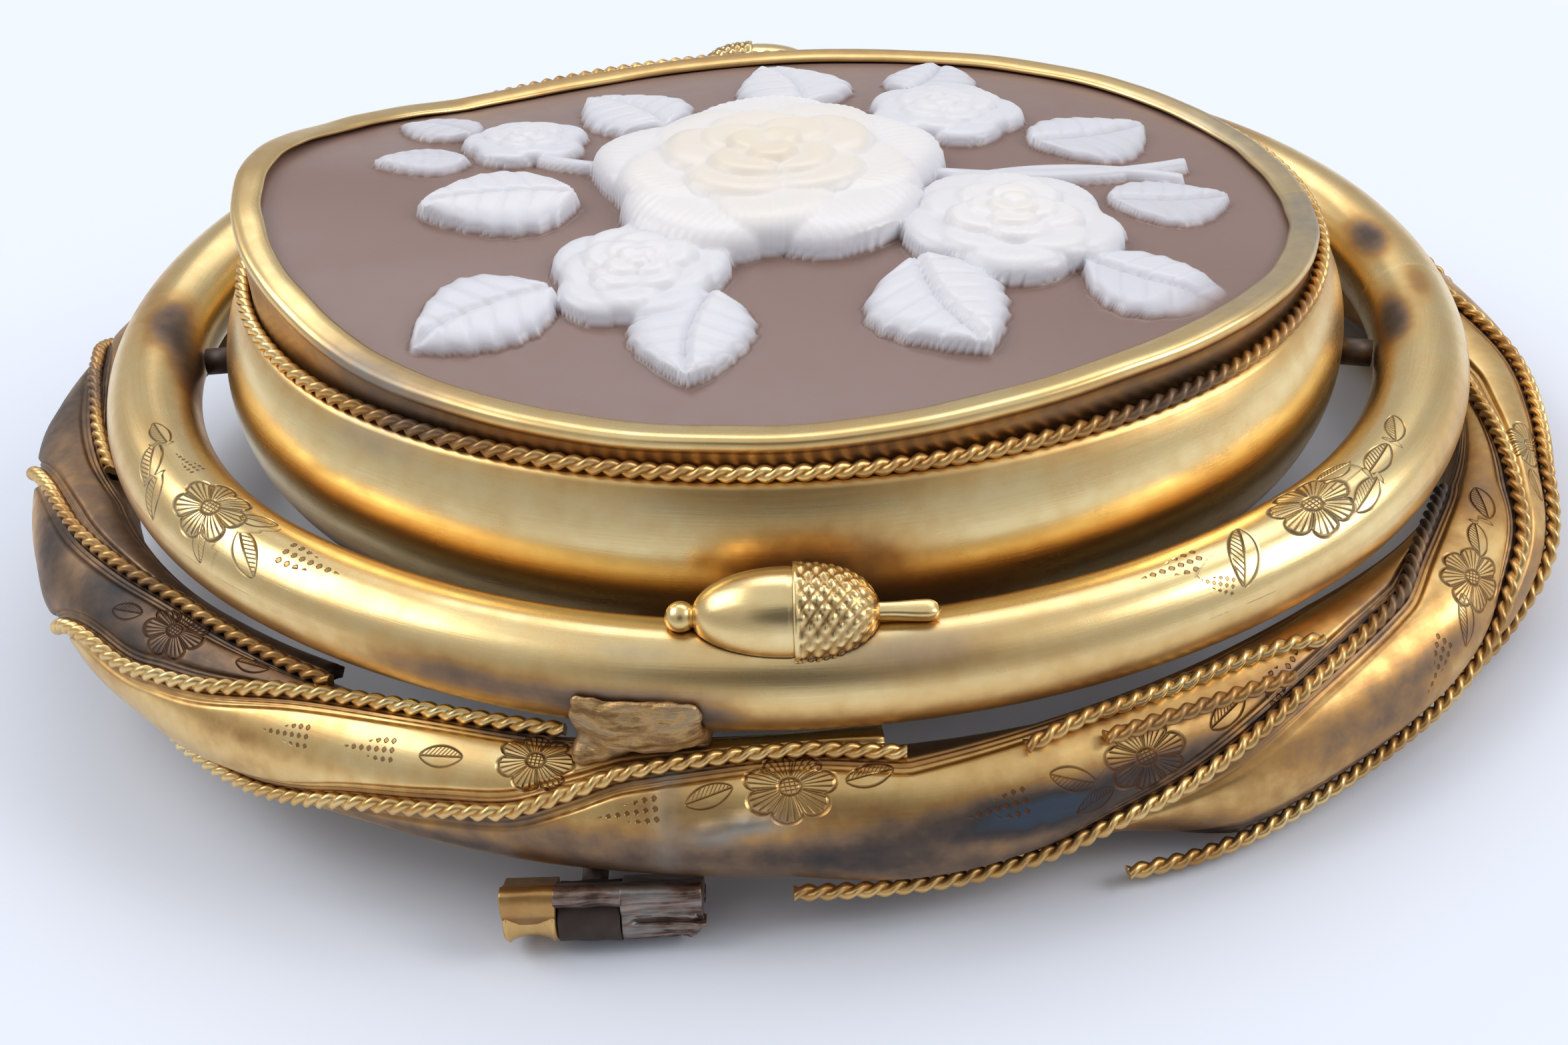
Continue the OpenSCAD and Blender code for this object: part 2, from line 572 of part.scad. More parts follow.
// The lump's outline at a, in the upright plane square to the tube there. Its lower edge keeps
// clear of the wire that passes under it.
function lump_section(a, s, foot) =
  let (p = oval_point(ring, a), n = [cos(a), sin(a)], apart = (oval_point(wreath, a) - p) * n,
       leaf_middle = [apart, -wreath_drop], out = lump_size * s, rise = 0.12 + 0.1 * sin(a * 97),
       on_tube = tube_r + 2 * seat_gap, on_leaf = leaf_radius + leaf_swell + 2 * seat_gap)
    let (low_lip = leaf_middle + turned(on_leaf + out * 0.3, foot + 1),
         waist = turned(on_tube + out * 0.62, -42) + [0, rise])
    [for (e = [turned(on_tube, 12), turned(on_tube, -20), turned(on_tube, -50), turned(on_tube, -74),
        leaf_middle + turned(on_leaf, 96), leaf_middle + turned(on_leaf, (96 + foot) / 2),
        leaf_middle + turned(on_leaf, foot), low_lip, (low_lip + waist) / 2, waist,
        turned(on_tube + out * 0.42, -14), turned(on_tube + 0.12, 10)])
      [p[0] + e[0] * n[0], p[1] + e[0] * n[1], e[1]]];

module solder_lump() {
  color(dull_gilt) lay() skin([for (r = LUMP) lump_section(r[0], r[1], r[2])], bent = true);
}

// Hinge, pin and catch
barrel_r = barrel_d / 2;
flank = 62; // direction from the wreath's middle to the hinge, below outward
flank_out = leaf_radius + leaf_swell + 2 * seat_gap + barrel_r;
axis_y = wreath_half_width + flank_out * cos(flank);
axis_z = -wreath_drop - flank_out * sin(flank);
knuckle_gap = 0.06;
strip_out = barrel_r * 0.85; // how far the strip over the knuckles stands out from the axis
strip_height = 0.6;
pin_from = -hinge_left + knuckle_gold + knuckle_gap;
torn_from = pin_from + knuckle_pin + knuckle_gap;
hinge_right = torn_from + knuckle_torn;
pin_x = pin_from + knuckle_pin / 2;

module knuckle(from, long, bore) {
  translate([from, 0, 0]) rotate([0, 90, 0]) difference() {
    cylinder(d = barrel_d, h = long, $fn = round_fn);
    translate([0, 0, -1]) cylinder(d = bore, h = long + 2, $fn = round_fn);
  }
}

// The room that the wreath's leaves take at the hinge, with a clearance
module wreath_room() {
  translate([0, 0, -wreath_drop]) round_oval(wreath)
    circle(r = leaf_radius + leaf_swell + seat_gap - $slim, $fn = round_fn);
}

module hinge_seat(from, long, low) {
  difference() {
    translate([from, -strip_out, low])
      cube([long, 2 * strip_out, barrel_r + knuckle_gap + strip_height - low]);
    translate([0, axis_y, -axis_z]) wreath_room();
  }
}

module hinge() {
  color(dull_gilt) lay() translate([0, -axis_y, axis_z]) difference() {
    union() {
      knuckle(-hinge_left, knuckle_gold, barrel_bore);
      knuckle(torn_from, knuckle_torn, barrel_bore);
      hinge_seat(-hinge_left, knuckle_gold, barrel_r * 0.2);
      hinge_seat(torn_from, knuckle_torn, barrel_r * 0.2);
      hinge_seat(-hinge_left, hinge_right + hinge_left, barrel_r + knuckle_gap);
    }
    translate([torn_from + knuckle_torn * 0.45, -barrel_d, -barrel_r * 0.1])
      cube([knuckle_torn, barrel_d, barrel_r * 0.55]);
  }
}

module pin() {
  far = 2 * axis_y - catch_wall;
  color(dark_metal) lay() translate([0, -axis_y, axis_z]) {
    knuckle(pin_from, knuckle_pin, barrel_bore);
    translate([pin_x, barrel_r * 0.8, 0]) rotate([-90, 0, 0])
      cylinder(d = pin_d, h = far - barrel_r * 0.8, $fn = round_fn);
  }
}

module catch() {
  inner = pin_d + 4 * seat_gap;
  outer = inner + 2 * catch_wall;
  color(dull_gilt) lay() translate([pin_x, axis_y, axis_z]) difference() {
    union() {
      translate([0, catch_width * 0.5, 0]) rotate([90, 0, 0])
        cylinder(d = barrel_d, h = catch_width, $fn = round_fn);
      translate([-outer / 2, -catch_width * 0.5, 0]) cube([outer, catch_width, barrel_r * 1.5]);
    }
    translate([0, catch_width, 0]) rotate([90, 0, 0])
      cylinder(d = inner, h = catch_width * 2, $fn = round_fn);
    translate([0, -catch_width, -inner / 2]) cube([barrel_d, catch_width * 2, inner]);
    translate([-pin_x, -axis_y, -axis_z]) wreath_room();
  }
}

// Rest on the surface
// It stands on the right ends of hinge and catch and on the wreath's right end.
rest_left = max(hinge_right, pin_x + catch_width / 2);
rest_right = wreath_half_length + (leaf_radius + leaf_swell) * cos(-leaf_foot);
rest_low = axis_z - barrel_r;
rest_high = -wreath_drop - leaf_radius * 1.015;
rest_tilt = atan((rest_high - rest_low) / (rest_right - rest_left));
rest_lift = rest_left * sin(rest_tilt) - rest_low * cos(rest_tilt);
rest_shift = 0.59; // brings the middle of its whole length over the middle of the surface

module lay() {
  translate([rest_shift, 0, rest_lift]) rotate([0, rest_tilt, 0]) children();
}

cameo();
bezel();
collar_wire();
gallery();
tube_ring();
acorn_front();
acorn_back();
wreath_tube();
leaf(0, dull_gilt);  // leaf_1
leaf(1, gilt);  // leaf_2
leaf(2, gilt);  // leaf_3
leaf(3, dull_gilt);  // leaf_4
leaf(4, gilt);  // leaf_5
leaf(5, dull_gilt);  // leaf_6
leaf(6, gilt);  // leaf_7
leaf(7, dull_gilt);  // leaf_8
leaf(8, gilt);  // leaf_9
leaf(9, dull_gilt);  // leaf_10
leaf(10, gilt);  // leaf_11
leaf(11, dull_gilt);  // leaf_12
edge_wire(0);  // edge_wire_1
edge_wire(1);  // edge_wire_2
edge_wire(2);  // edge_wire_3
edge_wire(3);  // edge_wire_4
edge_wire(4);  // edge_wire_5
edge_wire(5);  // edge_wire_6
edge_wire(6);  // edge_wire_7
edge_wire(7);  // edge_wire_8
edge_wire(8);  // edge_wire_9
edge_wire(9);  // edge_wire_10
edge_wire(10);  // edge_wire_11
edge_wire(11);  // edge_wire_12
loose_wire();
inner_wire();
solder_lump();
hinge();
pin();
catch();
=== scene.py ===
"""Looks of the cameo brooch: carved shell, gilt setting, engraved tube ring, wreath and stage."""

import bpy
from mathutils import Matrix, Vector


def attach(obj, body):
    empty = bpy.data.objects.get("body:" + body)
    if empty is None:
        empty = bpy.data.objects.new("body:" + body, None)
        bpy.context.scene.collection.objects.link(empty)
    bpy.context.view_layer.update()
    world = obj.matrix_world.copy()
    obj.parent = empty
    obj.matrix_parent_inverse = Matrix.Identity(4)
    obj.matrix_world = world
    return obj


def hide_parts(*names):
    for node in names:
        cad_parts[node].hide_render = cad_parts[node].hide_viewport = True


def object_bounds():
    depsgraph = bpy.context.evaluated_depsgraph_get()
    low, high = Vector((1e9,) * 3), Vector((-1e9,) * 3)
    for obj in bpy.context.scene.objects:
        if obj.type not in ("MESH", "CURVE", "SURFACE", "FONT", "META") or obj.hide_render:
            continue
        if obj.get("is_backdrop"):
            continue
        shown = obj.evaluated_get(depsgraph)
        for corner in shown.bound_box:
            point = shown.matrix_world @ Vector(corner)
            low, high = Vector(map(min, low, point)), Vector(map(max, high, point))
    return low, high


bl_info = {
    "name": "Cameo Brooch",
    "version": (1, 0, 0),
    "blender": (4, 5, 0),
    "location": "View3D > Sidebar > Brooch",
    "description": "Builds the carved, engraved and twisted pieces of a cameo brooch over its frame",
    "category": "Object",
}

import math

import bmesh
import bpy
import numpy as np
from mathutils import Matrix

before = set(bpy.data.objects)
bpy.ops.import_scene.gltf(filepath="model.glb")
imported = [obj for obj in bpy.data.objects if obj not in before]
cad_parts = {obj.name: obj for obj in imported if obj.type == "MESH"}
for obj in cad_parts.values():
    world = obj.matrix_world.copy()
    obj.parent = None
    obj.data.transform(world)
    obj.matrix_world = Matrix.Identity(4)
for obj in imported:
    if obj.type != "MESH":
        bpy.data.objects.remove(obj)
CAD_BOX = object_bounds()

MM = 0.001

# Sizes in millimetres, as in the part's source
SHELL_HALF = (22.7, 18.7)
SHELL_THICKNESS = 1.8
SHELL_DOME = 0.9
SHELL_DROP = 0.55
GAP = 0.05
COLLAR_WALL = 0.4
LIP_REACH = 0.75
RIM_RISE = 4.0
RIM_MEAN = 0.39
COLLAR_WIRE = 0.62
GALLERY_TOP = 4.55
GALLERY_HEIGHT = 7.6
GALLERY_BULGE = 1.3
GALLERY_WALL = 0.35
GALLERY_SEAT = 1.35 * GALLERY_WALL
SETTING_TILT = math.radians(2)
TUBE_R = 2.0
LEAF_R = 2.55
LEAF_SWELL = 0.3
LEAF_DEPTH = 0.4
EDGE_WIRE = 0.6
WREATH_DROP = 5.2
# Gallery to tube and tube to wreath, each at the ends and at the sides
RING_OFF = (1.4, 0.85)
WREATH_OFF = (3.9, 1.2)
LEAF_FOOT, LEAF_INNER, LEAF_GAP, LEAF_LEAST, LEAF_RISE = -76, 128, 1.4, 3, 6
BARREL_R = 1.15
FULLNESS = 1.5

WIRE_PLANE = GALLERY_TOP + GAP + COLLAR_WIRE / 2
GALLERY_OUT = GAP + GALLERY_SEAT + GALLERY_BULGE
GALLERY_MIDDLE = GALLERY_TOP - GALLERY_HEIGHT / 2
GALLERY_ARC = (GALLERY_HEIGHT / 2) ** 2 / (2 * GALLERY_BULGE) + GALLERY_BULGE / 2
WIRE_SEAT = 3 * GAP + EDGE_WIRE / 2


class Oval:
    """A four-arc oval, walked by the direction of its normal."""

    def __init__(self, long, wide):
        self.out = FULLNESS * (long - wide)
        self.end = long - self.out
        self.side = (self.out**2 + wide**2 - self.end**2) / (2 * (wide - self.end))
        self.inset = self.side - wide
        self.meet = math.atan2(self.inset, self.out)

    def at(self, angle):
        """x and y for normals at these angles, in radians."""
        c, s = np.cos(angle), np.sin(angle)
        on_end = np.arctan2(abs(s), abs(c)) <= self.meet
        x = np.where(on_end, np.sign(c) * self.out + self.end * c, self.side * c)
        y = np.where(on_end, self.end * s, -np.sign(s) * self.inset + self.side * s)
        return x, y

    def stand_off(self, degrees, offset, height):
        """Points that stand off the oval by offset along its normals, at this height."""
        angle = np.radians(degrees)
        x, y = self.at(angle)
        x, y = x + offset * np.cos(angle), y + offset * np.sin(angle)
        return np.stack(np.broadcast_arrays(x, y, height), -1)

    def walk(self, start=0.0, stop=360.0, count=7201):
        """Angles in degrees and the length walked to each."""
        angle = np.linspace(start, stop, count)
        x, y = self.at(np.radians(angle))
        step = np.hypot(np.diff(x), np.diff(y))
        return angle, np.concatenate([[0], np.cumsum(step)])


COLLAR_HALF = (SHELL_HALF[0] + GAP + COLLAR_WALL, SHELL_HALF[1] + GAP + COLLAR_WALL)
RING_HALF = tuple(half + GALLERY_OUT + off + TUBE_R for half, off in zip(COLLAR_HALF, RING_OFF))
SHELL = Oval(*SHELL_HALF)
COLLAR = Oval(*COLLAR_HALF)
RING = Oval(*RING_HALF)
WREATH_HALF = (RING_HALF[0] + WREATH_OFF[0], RING_HALF[1] + WREATH_OFF[1])
WREATH = Oval(*WREATH_HALF)

HINGE_LEFT, KNUCKLE_GOLD, KNUCKLE_PIN, KNUCKLE_TORN, KNUCKLE_GAP = 10.8, 2.0, 2.3, 3.0, 0.06
FLANK = math.radians(62)
FLANK_OUT = LEAF_R + LEAF_SWELL + 2 * GAP + BARREL_R
AXIS_Y = WREATH_HALF[1] + FLANK_OUT * math.cos(FLANK)
AXIS_Z = -WREATH_DROP - FLANK_OUT * math.sin(FLANK)
PIN_FROM = -HINGE_LEFT + KNUCKLE_GOLD + KNUCKLE_GAP
TORN_FROM = PIN_FROM + KNUCKLE_PIN + KNUCKLE_GAP
PIN_X = PIN_FROM + KNUCKLE_PIN / 2

REST_LEFT = TORN_FROM + KNUCKLE_TORN
REST_RIGHT = WREATH_HALF[0] + (LEAF_R + LEAF_SWELL) * math.cos(math.radians(-LEAF_FOOT))
REST_LOW = AXIS_Z - BARREL_R
REST_HIGH = -WREATH_DROP - LEAF_R * 1.015
REST_TILT = math.atan((REST_HIGH - REST_LOW) / (REST_RIGHT - REST_LEFT))
REST_LIFT = REST_LEFT * math.sin(REST_TILT) - REST_LOW * math.cos(REST_TILT)
REST_SHIFT = 0.59

# Rise of the rim above the collar wire: angle, share of RIM_RISE
RIM = [(-30, 0.40), (0, 0.20), (30, 0.17), (60, 0.21), (90, 0.13), (120, 0.12), (150, 0.52), (180, 0.97),
       (210, 0.80), (240, 0.40), (270, 0.32), (300, 0.48), (330, 0.40), (360, 0.20), (390, 0.17)]

# Edge wires of the wreath: angle, climb, lift
FRONT_WIRES = [
    [(173, -60, 0.05), (180, -45, 0.05), (184, -20, 0.1), (189, 10, 0.05), (194, 40, 0), (200, 60, 0),
     (210, 75, 0), (220, 90, 0), (230, 100, 0), (244, 90, 0)],
    [(205, -60, 0.05), (209, -40, 0.1), (213, -15, 0.05), (217, 10, 0), (222, 25, 0), (230, 30, 0),
     (236, 45, 0), (243, 75, 0), (250, 90, 0), (258, 95, 0)],
    [(229, -65, 0.1), (233, -50, 0.1), (240, -30, 0.1), (243, -20, 0.05), (247, 0, 0), (252, 15, 0),
     (256, 25, 0), (259, 45, 0), (262, 65, 0), (270, 85, 0), (276, 75, 0.05)],
    [(270, -40, 0.2), (278, -45, 0.2), (282, -35, 0.1), (286, -10, 0), (290, 10, 0), (298, 50, 0),
     (307, 80, 0), (313, 100, 0), (320, 115, 0), (328, 125, 0)],
    [(287, -45, 0.6), (292, -40, 0.65), (298, -35, 0.5), (305, -30, 0.3), (311, -20, 0.15),
     (315, -5, 0.05), (319, 20, 0), (326, 45, 0), (332, 70, 0), (346, 105, 0), (353, 115, 0)],
    [(314, -40, 0.15), (319, -35, 0.15), (325, -20, 0.1), (330, 10, 0.1), (338, 40, 0), (347, 50, 0),
     (356, 55, 0), (364, 70, 0), (372, 85, 0), (386, 105, 0)],
]
PLAIN_COURSE = [
    (-26, -35, 0.05), (-20, -30, 0.05), (-14, -10, 0), (-9, 15, 0), (-4, 40, 0), (0, 60, 0),
    (5, 75, 0), (11, 90, 0), (27, 115, 0)
]
PLAIN_CROSSINGS = (387, 416, 445, 474, 503, 532)
WIRES = FRONT_WIRES + [[(a + c, climb, lift) for a, climb, lift in PLAIN_COURSE] for c in PLAIN_CROSSINGS]
LOOSE_WIRE = [
    (282, 66, 0.1), (285, 75, 0.2), (288, 80, 0.15), (291, 84, 0.1), (295, 86, 0.1), (298, 83, 0.1),
    (300, 75, 0.1)
]
INNER_WIRE = [(286, 60), (290, 62), (294, 62), (297, 60)]

# Carving, in shares of the shell's short half axis, as in the part's source
# Flowers: x, y, radius, petals, height, turn. Leaves: x, y, length, width, turn, height.
# Stems: x and y of both ends, bow, half width, height.
FLOWERS = [(-0.02, 0.02, 0.42, 5, 0.86, 20), (0.52, -0.26, 0.25, 5, 0.62, 50),
           (-0.30, -0.42, 0.20, 5, 0.50, 10), (0.42, 0.40, 0.20, 5, 0.44, 0),
           (-0.62, 0.26, 0.16, 5, 0.40, 35)]
LEAVES = [(0.30, -0.42, 0.36, 0.15, -70, 0.30), (0.66, -0.42, 0.34, 0.13, -28, 0.22),
          (0.76, -0.10, 0.30, 0.12, 12, 0.18), (0.62, 0.22, 0.34, 0.14, 28, 0.20),
          (0.34, 0.56, 0.30, 0.12, 70, 0.22), (0.06, 0.44, 0.38, 0.15, 105, 0.30),
          (-0.28, 0.34, 0.36, 0.14, 128, 0.28), (-0.48, -0.48, 0.34, 0.13, 215, 0.24),
          (-0.14, -0.52, 0.30, 0.13, 262, 0.26), (-0.46, -0.10, 0.36, 0.14, 192, 0.32),
          (-0.76, 0.34, 0.24, 0.10, 150, 0.18), (-0.74, 0.12, 0.22, 0.09, 190, 0.18)]
STEMS = [(0.36, 0.02, 0.98, 0.14, -0.06, 0.030, 0.20), (0.36, -0.06, 0.96, 0.04, 0.06, 0.028, 0.20),
         (-0.40, 0.08, -0.64, 0.22, 0.03, 0.028, 0.20), (-0.20, -0.20, -0.32, -0.36, 0.02, 0.028, 0.20)]


# Shaping helpers
def table_at(rows, angle, column):
    """A table's column at these angles, on a smooth curve, held level past the ends."""
    rows = np.array(rows, float)
    key, value = rows[:, 0], rows[:, column]
    angle = np.asarray(angle, float)
    i = np.clip(np.searchsorted(key, angle, side="right") - 1, 0, len(key) - 2)
    w, z = np.maximum(i - 1, 0), np.minimum(i + 2, len(key) - 1)
    h = key[i + 1] - key[i]
    t = (angle - key[i]) / h
    m0 = (value[i + 1] - value[w]) / (key[i + 1] - key[w]) * h
    m1 = (value[z] - value[i]) / (key[z] - key[i]) * h
    out = ((2 * t**3 - 3 * t**2 + 1) * value[i] + (t**3 - 2 * t**2 + t) * m0
           + (3 * t**2 - 2 * t**3) * value[i + 1] + (t**3 - t**2) * m1)
    return np.where(angle <= key[0], value[0], np.where(angle >= key[-1], value[-1], out))


def ramp(t):
    """Held between 0 and 1."""
    return np.clip(t, 0, 1)


def ease(t):
    t = ramp(t)
    return t * t * (3 - 2 * t)


def ripple(angle, waves, seed):
    """An uneven hand-made wave round a closed oval, about -1 to 1. angle in degrees."""
    rng = np.random.default_rng(seed)
    total = np.zeros_like(np.asarray(angle, float))
    for wave in waves:
        total += np.sin(np.radians(angle) * wave + rng.uniform(0, 2 * math.pi)) * rng.uniform(0.5, 1)
    return total / len(waves)


def grain(points, size, seed):
    """Soft three-dimensional noise at these points, about -1 to 1, for bumps of this size in mm."""
    rng = np.random.default_rng(seed)
    total = np.zeros(points.shape[:-1])
    for _ in range(9):
        direction = rng.normal(size=3)
        direction /= np.linalg.norm(direction)
        per_mm = 2 * math.pi / (size * rng.uniform(0.8, 1.6))
        total += np.sin(points @ direction * per_mm + rng.uniform(0, 7))
    return total / 4


def tilted(points):
    """From the setting's frame to the brooch's."""
    x, y, z = points[..., 0], points[..., 1], points[..., 2]
    c, s = math.cos(SETTING_TILT), math.sin(SETTING_TILT)
    return np.stack([x, y * c + z * s, z * c - y * s], -1)


def laid(points):
    """From the brooch's frame, in millimetres, to the frame on the surface, in metres."""
    x, y, z = points[..., 0], points[..., 1], points[..., 2]
    c, s = math.cos(REST_TILT), math.sin(REST_TILT)
    return np.stack([x * c + z * s + REST_SHIFT, y, z * c - x * s + REST_LIFT], -1) * MM


def wreath_point(angle, climb, radius):
    """Points round the wreath's core, climb in degrees up its outer side."""
    climb = np.radians(climb)
    return WREATH.stand_off(angle, radius * np.cos(climb), radius * np.sin(climb) - WREATH_DROP)


def wire_rows(k):
    turn = 360 * (k // len(WIRES))
    return [(a + turn, climb, lift) for a, climb, lift in WIRES[k % len(WIRES)]]


def upper_edge(k, a):
    rows = wire_rows(k)
    begun = ramp((a - rows[0][0]) / LEAF_RISE)
    held = LEAF_FOOT + (table_at(rows, a, 1) - LEAF_FOOT) * begun
    past = np.minimum(LEAF_INNER, rows[-1][1] + (a - rows[-1][0]) * 2)
    return np.where(a > rows[-1][0], past, held)


def upper_lift(k, a):
    rows = wire_rows(k)
    return table_at(rows, a, 2) * ramp((a - rows[0][0]) / LEAF_RISE)


# Mesh helpers
def in_scene(name, data):
    """An object of this data, in the scene."""
    item = bpy.data.objects.new(name, data)
    bpy.context.scene.collection.objects.link(item)
    return item


def read_points(mesh, field="co"):
    values = np.empty(len(mesh.vertices) * 3)
    mesh.vertices.foreach_get(field, values)
    return values.reshape(-1, 3)


def grid_faces(rows, columns, wrap_rows=True, start=0):
    """Four-cornered faces of a grid whose rows are closed rings."""
    i = np.arange(rows if wrap_rows else rows - 1)
    i, j = np.meshgrid(i, np.arange(columns), indexing="ij")
    k, l = (i + 1) % rows, (j + 1) % columns
    corners = [i * columns + j, k * columns + j, k * columns + l, i * columns + l]
    return np.stack(corners, -1).reshape(-1, 4) + start


def capped_faces(rows, columns, start=0):
    """Faces of a run of rings with a cap on either end."""
    last = start + (rows - 1) * columns
    caps = [list(range(start, start + columns)), list(range(last + columns - 1, last - 1, -1))]
    return grid_faces(rows, columns, False, start).tolist() + caps


def build(name, points, faces, surface, attributes, lengthwise=None):
    """A mesh object in place. points in metres, attributes a value for all, or a value or vector for each
    point, lengthwise (along, across) in millimetres for each point."""
    mesh = bpy.data.meshes.new(name)
    mesh.from_pydata(points.reshape(-1, 3).tolist(), [], [list(map(int, f)) for f in faces])
    mesh.polygons.foreach_set("use_smooth", [True] * len(mesh.polygons))
    count = len(mesh.vertices)
    for key, values in attributes.items():
        values = np.asarray(values, np.float32).ravel()
        kind, field = ("FLOAT_VECTOR", "vector") if values.size == 3 * count else ("FLOAT", "value")
        layer = mesh.attributes.new(key, kind, "POINT")
        layer.data.foreach_set(field, values if values.size > 1 else np.full(count, values[0]))
    if lengthwise is not None:
        corner = np.empty(len(mesh.loops), dtype=np.int32)
        mesh.loops.foreach_get("vertex_index", corner)
        places = np.stack(np.broadcast_arrays(*lengthwise), -1).reshape(-1, 2)
        layer = mesh.uv_layers.new(name="lengthwise")
        layer.data.foreach_set("uv", places[corner].astype(np.float32).ravel())
    mesh.materials.append(surface)
    mesh.validate()
    return in_scene(name, mesh)


def turn_outwards(piece):
    """Turns the faces of one or several closed shells outwards."""
    work = bmesh.new()
    work.from_mesh(piece.data)
    bmesh.ops.recalc_face_normals(work, faces=work.faces)
    work.to_mesh(piece.data)
    work.free()


def finish_piece(piece, slot, *nodes):
    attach(piece, "root")
    if nodes:
        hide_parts(*nodes)
    return piece


# Engraving
def motif_rows(rows, oval, radius, angles, walked):
    """A table's motifs with their places along and round a tube, and how much the outer side is stretched."""
    placed = []
    for kind, size, degrees, climb, turn in rows:
        bend = oval.side if abs(math.sin(math.radians(degrees))) > 0.8 else oval.end
        stretch = 1 + radius * math.cos(math.radians(climb)) / bend
        along = float(np.interp(degrees, angles, walked))
        placed.append((kind, size, along, math.radians(climb) * radius, turn, stretch))
    return placed


def engraving_places(along, across, motifs):
    """For each kind of motif the place of every point in the nearest one of that kind, as (x, y, mask) in
    shares of the motif's size. Each motif is (kind, size, along, across, turn in degrees, stretch)."""
    layers = {}
    shape = np.broadcast_shapes(along.shape, across.shape)
    for kind in ("flower", "leaf", "punch"):
        layer = np.zeros(shape + (3,))
        nearest = np.full(shape, 1e9)
        for name, size, cu, cv, turn, stretch in motifs:
            if name != kind:
                continue
            c, s = math.cos(math.radians(turn)), math.sin(math.radians(turn))
            du, dv = (along - cu) * stretch * (0.74 if kind == "flower" else 1), across - cv
            x, y = (du * c + dv * s) / size, (dv * c - du * s) / size
            away = np.hypot(x, y)
            closer = away < nearest
            nearest = np.where(closer, away, nearest)
            own = np.stack([x, y, ramp((1.45 - away) * 3)], -1)
            layer = np.where(closer[..., None], own, layer)
        layers[kind] = layer
    return layers


def spots(u, v, marks, base=0):
    """A value a point: base, plus soft spots given as (u, v, reach along, reach across, amount)."""
    value = np.full(np.broadcast_shapes(u.shape, v.shape), float(base))
    for cu, cv, ru, rv, amount in marks:
        value = value + amount * np.exp(-(((u - cu) / ru) ** 2 + ((v - cv) / rv) ** 2) ** 1.3)
    return value


# Materials
def linear(hex_colour):
    """sRGB hex to linear."""
    parts = [int(hex_colour[i : i + 2], 16) / 255 for i in (1, 3, 5)]
    return tuple(p / 12.92 if p <= 0.04045 else ((p + 0.055) / 1.055) ** 2.4 for p in parts) + (1.0,)


def add_node(tree, kind, inputs=None, stops=(), **settings):
    """Adds a node, sets its properties and colour stops, and sets or links its inputs."""
    node = tree.nodes.new(kind)
    for key, value in settings.items():
        setattr(node, key, value)
    for key, value in (inputs or {}).items():
        value = getattr(value, "socket", value)
        if isinstance(value, bpy.types.NodeSocket):
            tree.links.new(value, node.inputs[key])
        else:
            node.inputs[key].default_value = value
    if stops:
        elements = node.color_ramp.elements
        while len(elements) > 1:
            elements.remove(elements[-1])
        elements[0].position, elements[0].color = stops[0][0], linear(stops[0][1])
        for position, colour in stops[1:]:
            elements.new(position).color = linear(colour)
    return node


class Term:
    """A number in a node tree, to write formulas with. Each step of a formula adds one node."""

    def __init__(self, socket):
        self.socket = socket

    def then(self, operation, other=0.0, swapped=False):
        pair = {0: other, 1: self} if swapped else {0: self, 1: other}
        return Term(add_node(self.socket.id_data, "ShaderNodeMath", pair, operation=operation).outputs[0])

    def __add__(self, other):
        return self.then("ADD", other)

    def __sub__(self, other):
        return self.then("SUBTRACT", other)

    def __rsub__(self, other):
        return self.then("SUBTRACT", other, swapped=True)

    def __mul__(self, other):
        return self.then("MULTIPLY", other)

    def __truediv__(self, other):
        return self.then("DIVIDE", other)

    def __pow__(self, other):
        return self.then("POWER", other)

    def __abs__(self):
        return self.then("ABSOLUTE")

    def most(self, *others):
        """The largest of these."""
        result = self
        for other in others:
            result = result.then("MAXIMUM", other)
        return result

    def held(self):
        """Held between 0 and 1."""
        self.socket.node.use_clamp = True
        return self

    def line(self, width):
        """1 where the number is 0, falling to 0 at width on either side."""
        return (1.0 - abs(self) / width).held()


def motif_place(tree, kind):
    """x, y and mask of an engraving layer."""
    place = add_node(tree, "ShaderNodeAttribute", attribute_name=kind).outputs["Vector"]
    parts = add_node(tree, "ShaderNodeSeparateXYZ", {"Vector": place}).outputs
    return [Term(parts[axis]) for axis in "XYZ"]


def engraved_flower(tree):
    """An open flower: scalloped outline, petals cut apart, each hatched with fine rays, cross-cut heart."""
    x, y, mask = motif_place(tree, "flower")
    r = (x * x + y * y).then("SQRT")
    angle = y.then("ARCTAN2", x)
    lobe = abs((angle * 3.5).then("COSINE"))
    edge = lobe**0.6 * 0.26 + 0.72
    inside = ((edge - r) * 18.0).held()
    outside_heart = ((r - 0.25) * 18.0).held()
    petal = inside * outside_heart
    rays = (angle * 17.5).then("SINE").line(0.7)
    gaps = (lobe * r).line(0.11)
    grid = [(v * 30.0).then("SINE").line(0.6) for v in (x, y)]
    heart = grid[0].most(grid[1]) * (1.0 - outside_heart)
    rings = (r - edge).line(0.07), (r - 0.23).line(0.06)
    return (rays * 0.85 * petal).most(gaps * petal, *rings, heart) * mask


def engraved_leaf(tree):
    """A pointed leaf with a rib, hatched on one side."""
    x, y, mask = motif_place(tree, "leaf")
    taper = (1.0 - x * x).held()
    half = taper**0.8 * 0.42
    side = abs(y)
    within = ((half - side) * 26.0).held()
    hatch = ((x + y * -0.9) * 17.0).then("SINE").line(0.6) * (y * 30.0).held()
    cut = (hatch * 0.8).most(y.line(0.05)) * within
    rim = (side - half).line(0.06) * (taper * 20.0).held()
    return cut.most(rim) * mask


